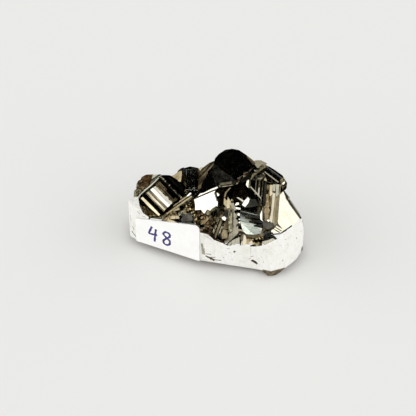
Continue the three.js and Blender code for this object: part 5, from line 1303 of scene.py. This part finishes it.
# Small crystals that grow on the mass, spread by a Geometry Nodes tree with named inputs
def small_crystal_tree(seed_block, finish):
    tree = bpy.data.node_groups.new("small_crystals", "GeometryNodeTree")
    sockets = tree.interface
    sockets.new_socket("Mass", in_out="INPUT", socket_type="NodeSocketGeometry")
    for name, kind, value in (
        ("Smallest", "NodeSocketFloat", 0.35 * MM), ("Largest", "NodeSocketFloat", 1.0 * MM),
        ("Spacing", "NodeSocketFloat", 0.9 * MM), ("Density", "NodeSocketFloat", 1.1e6),
        ("Seed", "NodeSocketInt", 7), ("Lowest place", "NodeSocketFloat", 8 * MM),
    ):
        sockets.new_socket(name, in_out="INPUT", socket_type=kind).default_value = value
    sockets.new_socket("Crystals", in_out="OUTPUT", socket_type="NodeSocketGeometry")
    given = node(tree, "NodeGroupInput").outputs
    nest = node(tree, "GeometryNodeInputNamedAttribute", {"Name": "nest"}, data_type="FLOAT")
    place = node(tree, "GeometryNodeInputPosition").outputs[0]
    height = node(tree, "ShaderNodeSeparateXYZ", {0: place}).outputs["Z"]
    high, on_mass = (
        node(tree, "FunctionNodeCompare", {0: value, 1: least}, operation="GREATER_THAN").outputs[0]
        for value, least in ((height, given["Lowest place"]), (nest.outputs["Attribute"], 0.5))
    )
    chosen = node(tree, "FunctionNodeBooleanMath", {0: high, 1: on_mass}, operation="AND")
    spots = node(tree, "GeometryNodeDistributePointsOnFaces", {
        "Mesh": given["Mass"], "Selection": chosen.outputs[0], "Distance Min": given["Spacing"],
        "Density Max": given["Density"], "Seed": given["Seed"],
    }, distribute_method="POISSON")
    turns = node(tree, "FunctionNodeRandomValue", {
        0: (0, 0, 0), 1: (math.tau, math.tau, math.tau), "Seed": given["Seed"],
    }, data_type="FLOAT_VECTOR")
    size = node(tree, "FunctionNodeRandomValue", {
        2: given["Smallest"], 3: given["Largest"], "Seed": given["Seed"],
    }, data_type="FLOAT")
    shape = node(tree, "GeometryNodeObjectInfo", {"Object": seed_block}).outputs["Geometry"]
    copies = node(tree, "GeometryNodeInstanceOnPoints", {
        "Points": spots.outputs["Points"], "Instance": shape,
        "Rotation": turns.outputs[0], "Scale": size.outputs[1],
    })
    real = node(tree, "GeometryNodeRealizeInstances", {"Geometry": copies.outputs[0]})
    dressed = node(tree, "GeometryNodeSetMaterial", {"Geometry": real.outputs[0], "Material": finish})
    node(tree, "NodeGroupOutput", {"Crystals": dressed.outputs[0]})
    return tree


# The result of a Geometry Nodes tree on a piece, as a plain mesh piece of its own
def grown_on(piece, tree, name):
    carrier = new_piece("carrier", piece.data.copy())
    grow = carrier.modifiers.new("grow", "NODES")
    grow.node_group = tree
    mesh = finished_mesh(carrier)
    bpy.data.objects.remove(carrier)
    return new_piece(name, mesh)


# The label's own directions, along its foot and out from the ground side, and its length
def label_frame():
    along = Vector((LABEL_TO[0] - LABEL_FROM[0], LABEL_TO[1] - LABEL_FROM[1], 0))
    length = along.length
    along.normalize()
    return along, along.cross(Vector((0, 0, 1))), length


# How high the label's paper reaches at a place along it
def label_top(x, length):
    top = LABEL_TOP_LEFT + (LABEL_TOP_RIGHT - LABEL_TOP_LEFT) * x / length
    over = max(0.0, x - (length - LABEL_CORNER))
    return top - LABEL_CORNER + math.sqrt(max(0.0, LABEL_CORNER ** 2 - over ** 2))


# How far the paper stands off the stone at a place: it lifts at its ends and waves a little
def paper_lift(x, z, length):
    edge = abs(2 * x / length - 1) ** LIFT_SHARPNESS
    wave = math.prod(math.sin(x * along + z * up) for along, up in PAPER_WAVES)
    return LIFT_AT_ENDS * edge + LIFT_OF_WAVES * wave


# A point of the label, or off it: along it, up, and out from the paper's place
def label_point(x, z, off):
    along, out, length = label_frame()
    base = Vector((*LABEL_FROM, 0))
    return base + along * x + Vector((0, 0, z)) + out * (LABEL_GAP + off + paper_lift(x, z, length))


# The label: a back and a front sheet of small faces, closed round their edge
def make_label(finish):
    columns, rows = LABEL_COLUMNS, LABEL_ROWS
    length = label_frame()[2]
    points, faces = [], []
    for off in (LABEL_BACK, LABEL_THICKNESS):
        for i in range(columns + 1):
            x = length * (1 - (1 - i / columns) ** LABEL_CROWDING)
            high = label_top(x, length) - LABEL_BOTTOM
            points += [label_point(x, LABEL_BOTTOM + high * j / rows, off) for j in range(rows + 1)]
    layer = (columns + 1) * (rows + 1)
    for i in range(columns):
        for j in range(rows):
            a = i * (rows + 1) + j
            b = a + rows + 1
            faces.append([a, a + 1, b + 1, b])
            faces.append([layer + a, layer + b, layer + b + 1, layer + a + 1])
    edge = [i * (rows + 1) for i in range(columns + 1)]
    edge += [columns * (rows + 1) + j for j in range(1, rows + 1)]
    edge += [i * (rows + 1) + rows for i in range(columns - 1, -1, -1)]
    edge += [j for j in range(rows - 1, 0, -1)]
    for a, b in zip(edge, edge[1:] + edge[:1]):
        faces.append([a, b, layer + b, layer + a])
    return sheet_piece("paper_label", points, faces, finish)


# A point on a smooth line through the given points
def on_smooth_line(points, t):
    spans = len(points) - 1
    i = min(int(t * spans), spans - 1)
    u = t * spans - i
    p = [points[max(0, min(spans, i + k))] for k in (-1, 0, 1, 2)]
    return [
        0.5 * (2 * b + (c - a) * u + (2 * a - 5 * b + 4 * c - d) * u * u + (3 * b - a - 3 * c + d) * u ** 3)
        for a, b, c, d in zip(*p)
    ]


# The number as low rounded strokes of ink on the paper, which taper at their ends
def write_number(finish):
    points, faces = [], []
    for stroke in NUMBER_STROKES:
        count = PEN_STEPS * (len(stroke) - 1)
        line = [on_smooth_line(stroke, i / count) for i in range(count + 1)]
        first = len(points)
        for i, (x, z) in enumerate(line):
            px, pz = line[max(0, i - 1)]
            nx, nz = line[min(count, i + 1)]
            ahead = Vector((nx - px, nz - pz)).normalized()
            end = min(1.0, END_SHARE + min(i, count - i) / END_STEPS)
            half = PEN_WIDTH / 2 * end * (USUAL_SHARE + SWELL * math.sin(i * SWELL_RATE))
            for k in range(PEN_SIDES):
                a = math.tau * k / PEN_SIDES
                sx = x - ahead.y * math.cos(a) * half
                sz = z + ahead.x * math.cos(a) * half
                points.append(label_point(sx, sz, LABEL_THICKNESS + INK_HEIGHT * math.sin(a)))
        for i in range(count):
            for k in range(PEN_SIDES):
                a, b = first + i * PEN_SIDES + k, first + i * PEN_SIDES + (k + 1) % PEN_SIDES
                faces.append([a, b, b + PEN_SIDES, a + PEN_SIDES])
        faces.append([first + k for k in reversed(range(PEN_SIDES))])
        faces.append([first + count * PEN_SIDES + k for k in range(PEN_SIDES)])
    return sheet_piece("label_number", points, faces, finish)


# The studio that the crystals mirror. Softboxes: where each hangs, the half width of its bright
# middle and of the soft edge round it in degrees, its colour and its strength.
SOFTBOXES = [
    ((0, -0.34, 0.94), 12, 14, (1, 1, 0.99), 1.7),
    ((0.675, 0.24, 0.70), 12, 8, (1, 0.99, 0.93), 1.35),
    ((-0.56, 0.34, 0.754), 5, 17, (1, 0.95, 0.84), 1.04),
]
# The tone of the table at the horizon, how far above it that fades in degrees, and the tone above
HORIZON_TONE = 0.83 * 0.95
HORIZON = 14
DARKEST = 0.0015
# What dull surfaces get from all round, from either side, and more from the front than from behind
EVEN_LIGHT = 0.6
SIDE_LIGHT = 1.6
FRONT_LIGHT = 0.35
BACKDROP = (1, 1, 0.995, 1)


# A softbox in the studio's sky, as a bright round patch with a soft edge
def softbox(tree, direction, aim, half_width, edge, colour, strength):
    facing_it = vector_step(tree, "DOT_PRODUCT", {0: direction, 1: Vector(aim).normalized()})
    low = math.cos(math.radians(half_width + edge))
    high = math.cos(math.radians(half_width))
    return vector_step(tree, "SCALE", {0: colour, "Scale": ranged(tree, facing_it, low, high, 0, strength)})


# The light on dull surfaces: strongest from the two sides, weakest from behind the cluster
def lighting_strength(tree, direction):
    parts = node(tree, "ShaderNodeSeparateXYZ", {0: direction}).outputs
    sides = number_step(tree, "MULTIPLY", parts["X"], parts["X"])
    with_sides = number_step(tree, "MULTIPLY_ADD", sides, SIDE_LIGHT, EVEN_LIGHT)
    return number_step(tree, "MULTIPLY_ADD", parts["Y"], -FRONT_LIGHT, with_sides)


# The world: softboxes and a dark sky for what mirrors, even light for what is dull, and a plain
# pale backdrop for the camera
def studio():
    world = bpy.data.worlds.new("studio")
    bpy.context.scene.world = world
    world.use_nodes = True
    world.cycles.sampling_method = "NONE"
    tree = world.node_tree
    tree.nodes.clear()
    direction = node(tree, "ShaderNodeTexCoord").outputs["Generated"]
    rise = node(tree, "ShaderNodeSeparateXYZ", {0: direction}).outputs["Z"]
    band = ranged(tree, rise, 0, math.sin(math.radians(HORIZON)), HORIZON_TONE, DARKEST)
    glow = node(tree, "ShaderNodeCombineXYZ", {0: band, 1: band, 2: band}).outputs[0]
    for values in SOFTBOXES:
        glow = vector_step(tree, "ADD", {0: glow, 1: softbox(tree, direction, *values)})
    mirrored = node(tree, "ShaderNodeBackground", {"Color": glow}).outputs[0]
    plain = node(tree, "ShaderNodeBackground", {"Color": BACKDROP}).outputs[0]
    lighting = node(tree, "ShaderNodeBackground", {
        "Color": BACKDROP, "Strength": lighting_strength(tree, direction),
    }).outputs[0]
    seen_by = node(tree, "ShaderNodeLightPath").outputs
    lit = node(tree, "ShaderNodeMixShader", {0: seen_by["Is Camera Ray"], 1: lighting, 2: plain}).outputs[0]
    both = node(tree, "ShaderNodeMixShader", {0: seen_by["Is Glossy Ray"], 1: lit, 2: mirrored}).outputs[0]
    node(tree, "ShaderNodeOutputWorld", {"Surface": both})


# The table reaches this far to each side
TABLE_REACH = 3000
TABLE_CORNERS = ((-1, -1), (1, -1), (1, 1), (-1, 1))


# The dull pale table that the cluster stands on
def table():
    made, tree = new_finish("pale_table")[:2]
    end_in_surface(tree, {
        "Base Color": (0.83, 0.83, 0.815, 1), "Roughness": 0.9, "Specular IOR Level": 0.0,
    })
    corners = [Vector((x, y, 0)) * TABLE_REACH for x, y in TABLE_CORNERS]
    sheet_piece("table", corners, [[0, 1, 2, 3]], made)


# The camera's lens and sensor in millimetres, and in metres how near it sees, how far off it
# stands, and the point that it looks at
LENS, SENSOR = 100, 36
NEAREST_SEEN = 0.01
CAMERA_DISTANCE = 0.385
LOOKED_AT = Vector((-0.0025, 0, 0.0124))


# The camera in front of the cluster
def camera():
    seen = bpy.data.cameras.new("camera")
    seen.lens = LENS
    seen.sensor_width = SENSOR
    seen.clip_start = NEAREST_SEEN
    piece = new_piece("camera", seen)
    piece.location = LOOKED_AT + DRAW_OUT * CAMERA_DISTANCE
    piece.rotation_euler = (math.radians(90) - LOOKING_DOWN, 0, 0)
    bpy.context.scene.camera = piece


camera()
studio()
table()
bpy.context.scene.view_settings.view_transform = "Standard"

cluster = grow_cluster()
seed_block = hull(block_corners(BLOCK_BEVEL), BRASSY, Vector((1, 0, 0)))
tree = small_crystal_tree(seed_block, stone_finishes[BRASSY])
small_crystals = grown_on(cluster, tree, "small_crystals")
bpy.data.objects.remove(seed_block)
for piece in (cluster, small_crystals):
    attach(piece, "root")
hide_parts("pyrite_cluster")

paper_label = make_label(paper_finish())
label_number = write_number(ink_finish())
for piece in (paper_label, label_number):
    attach(piece, "root")
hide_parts("label")
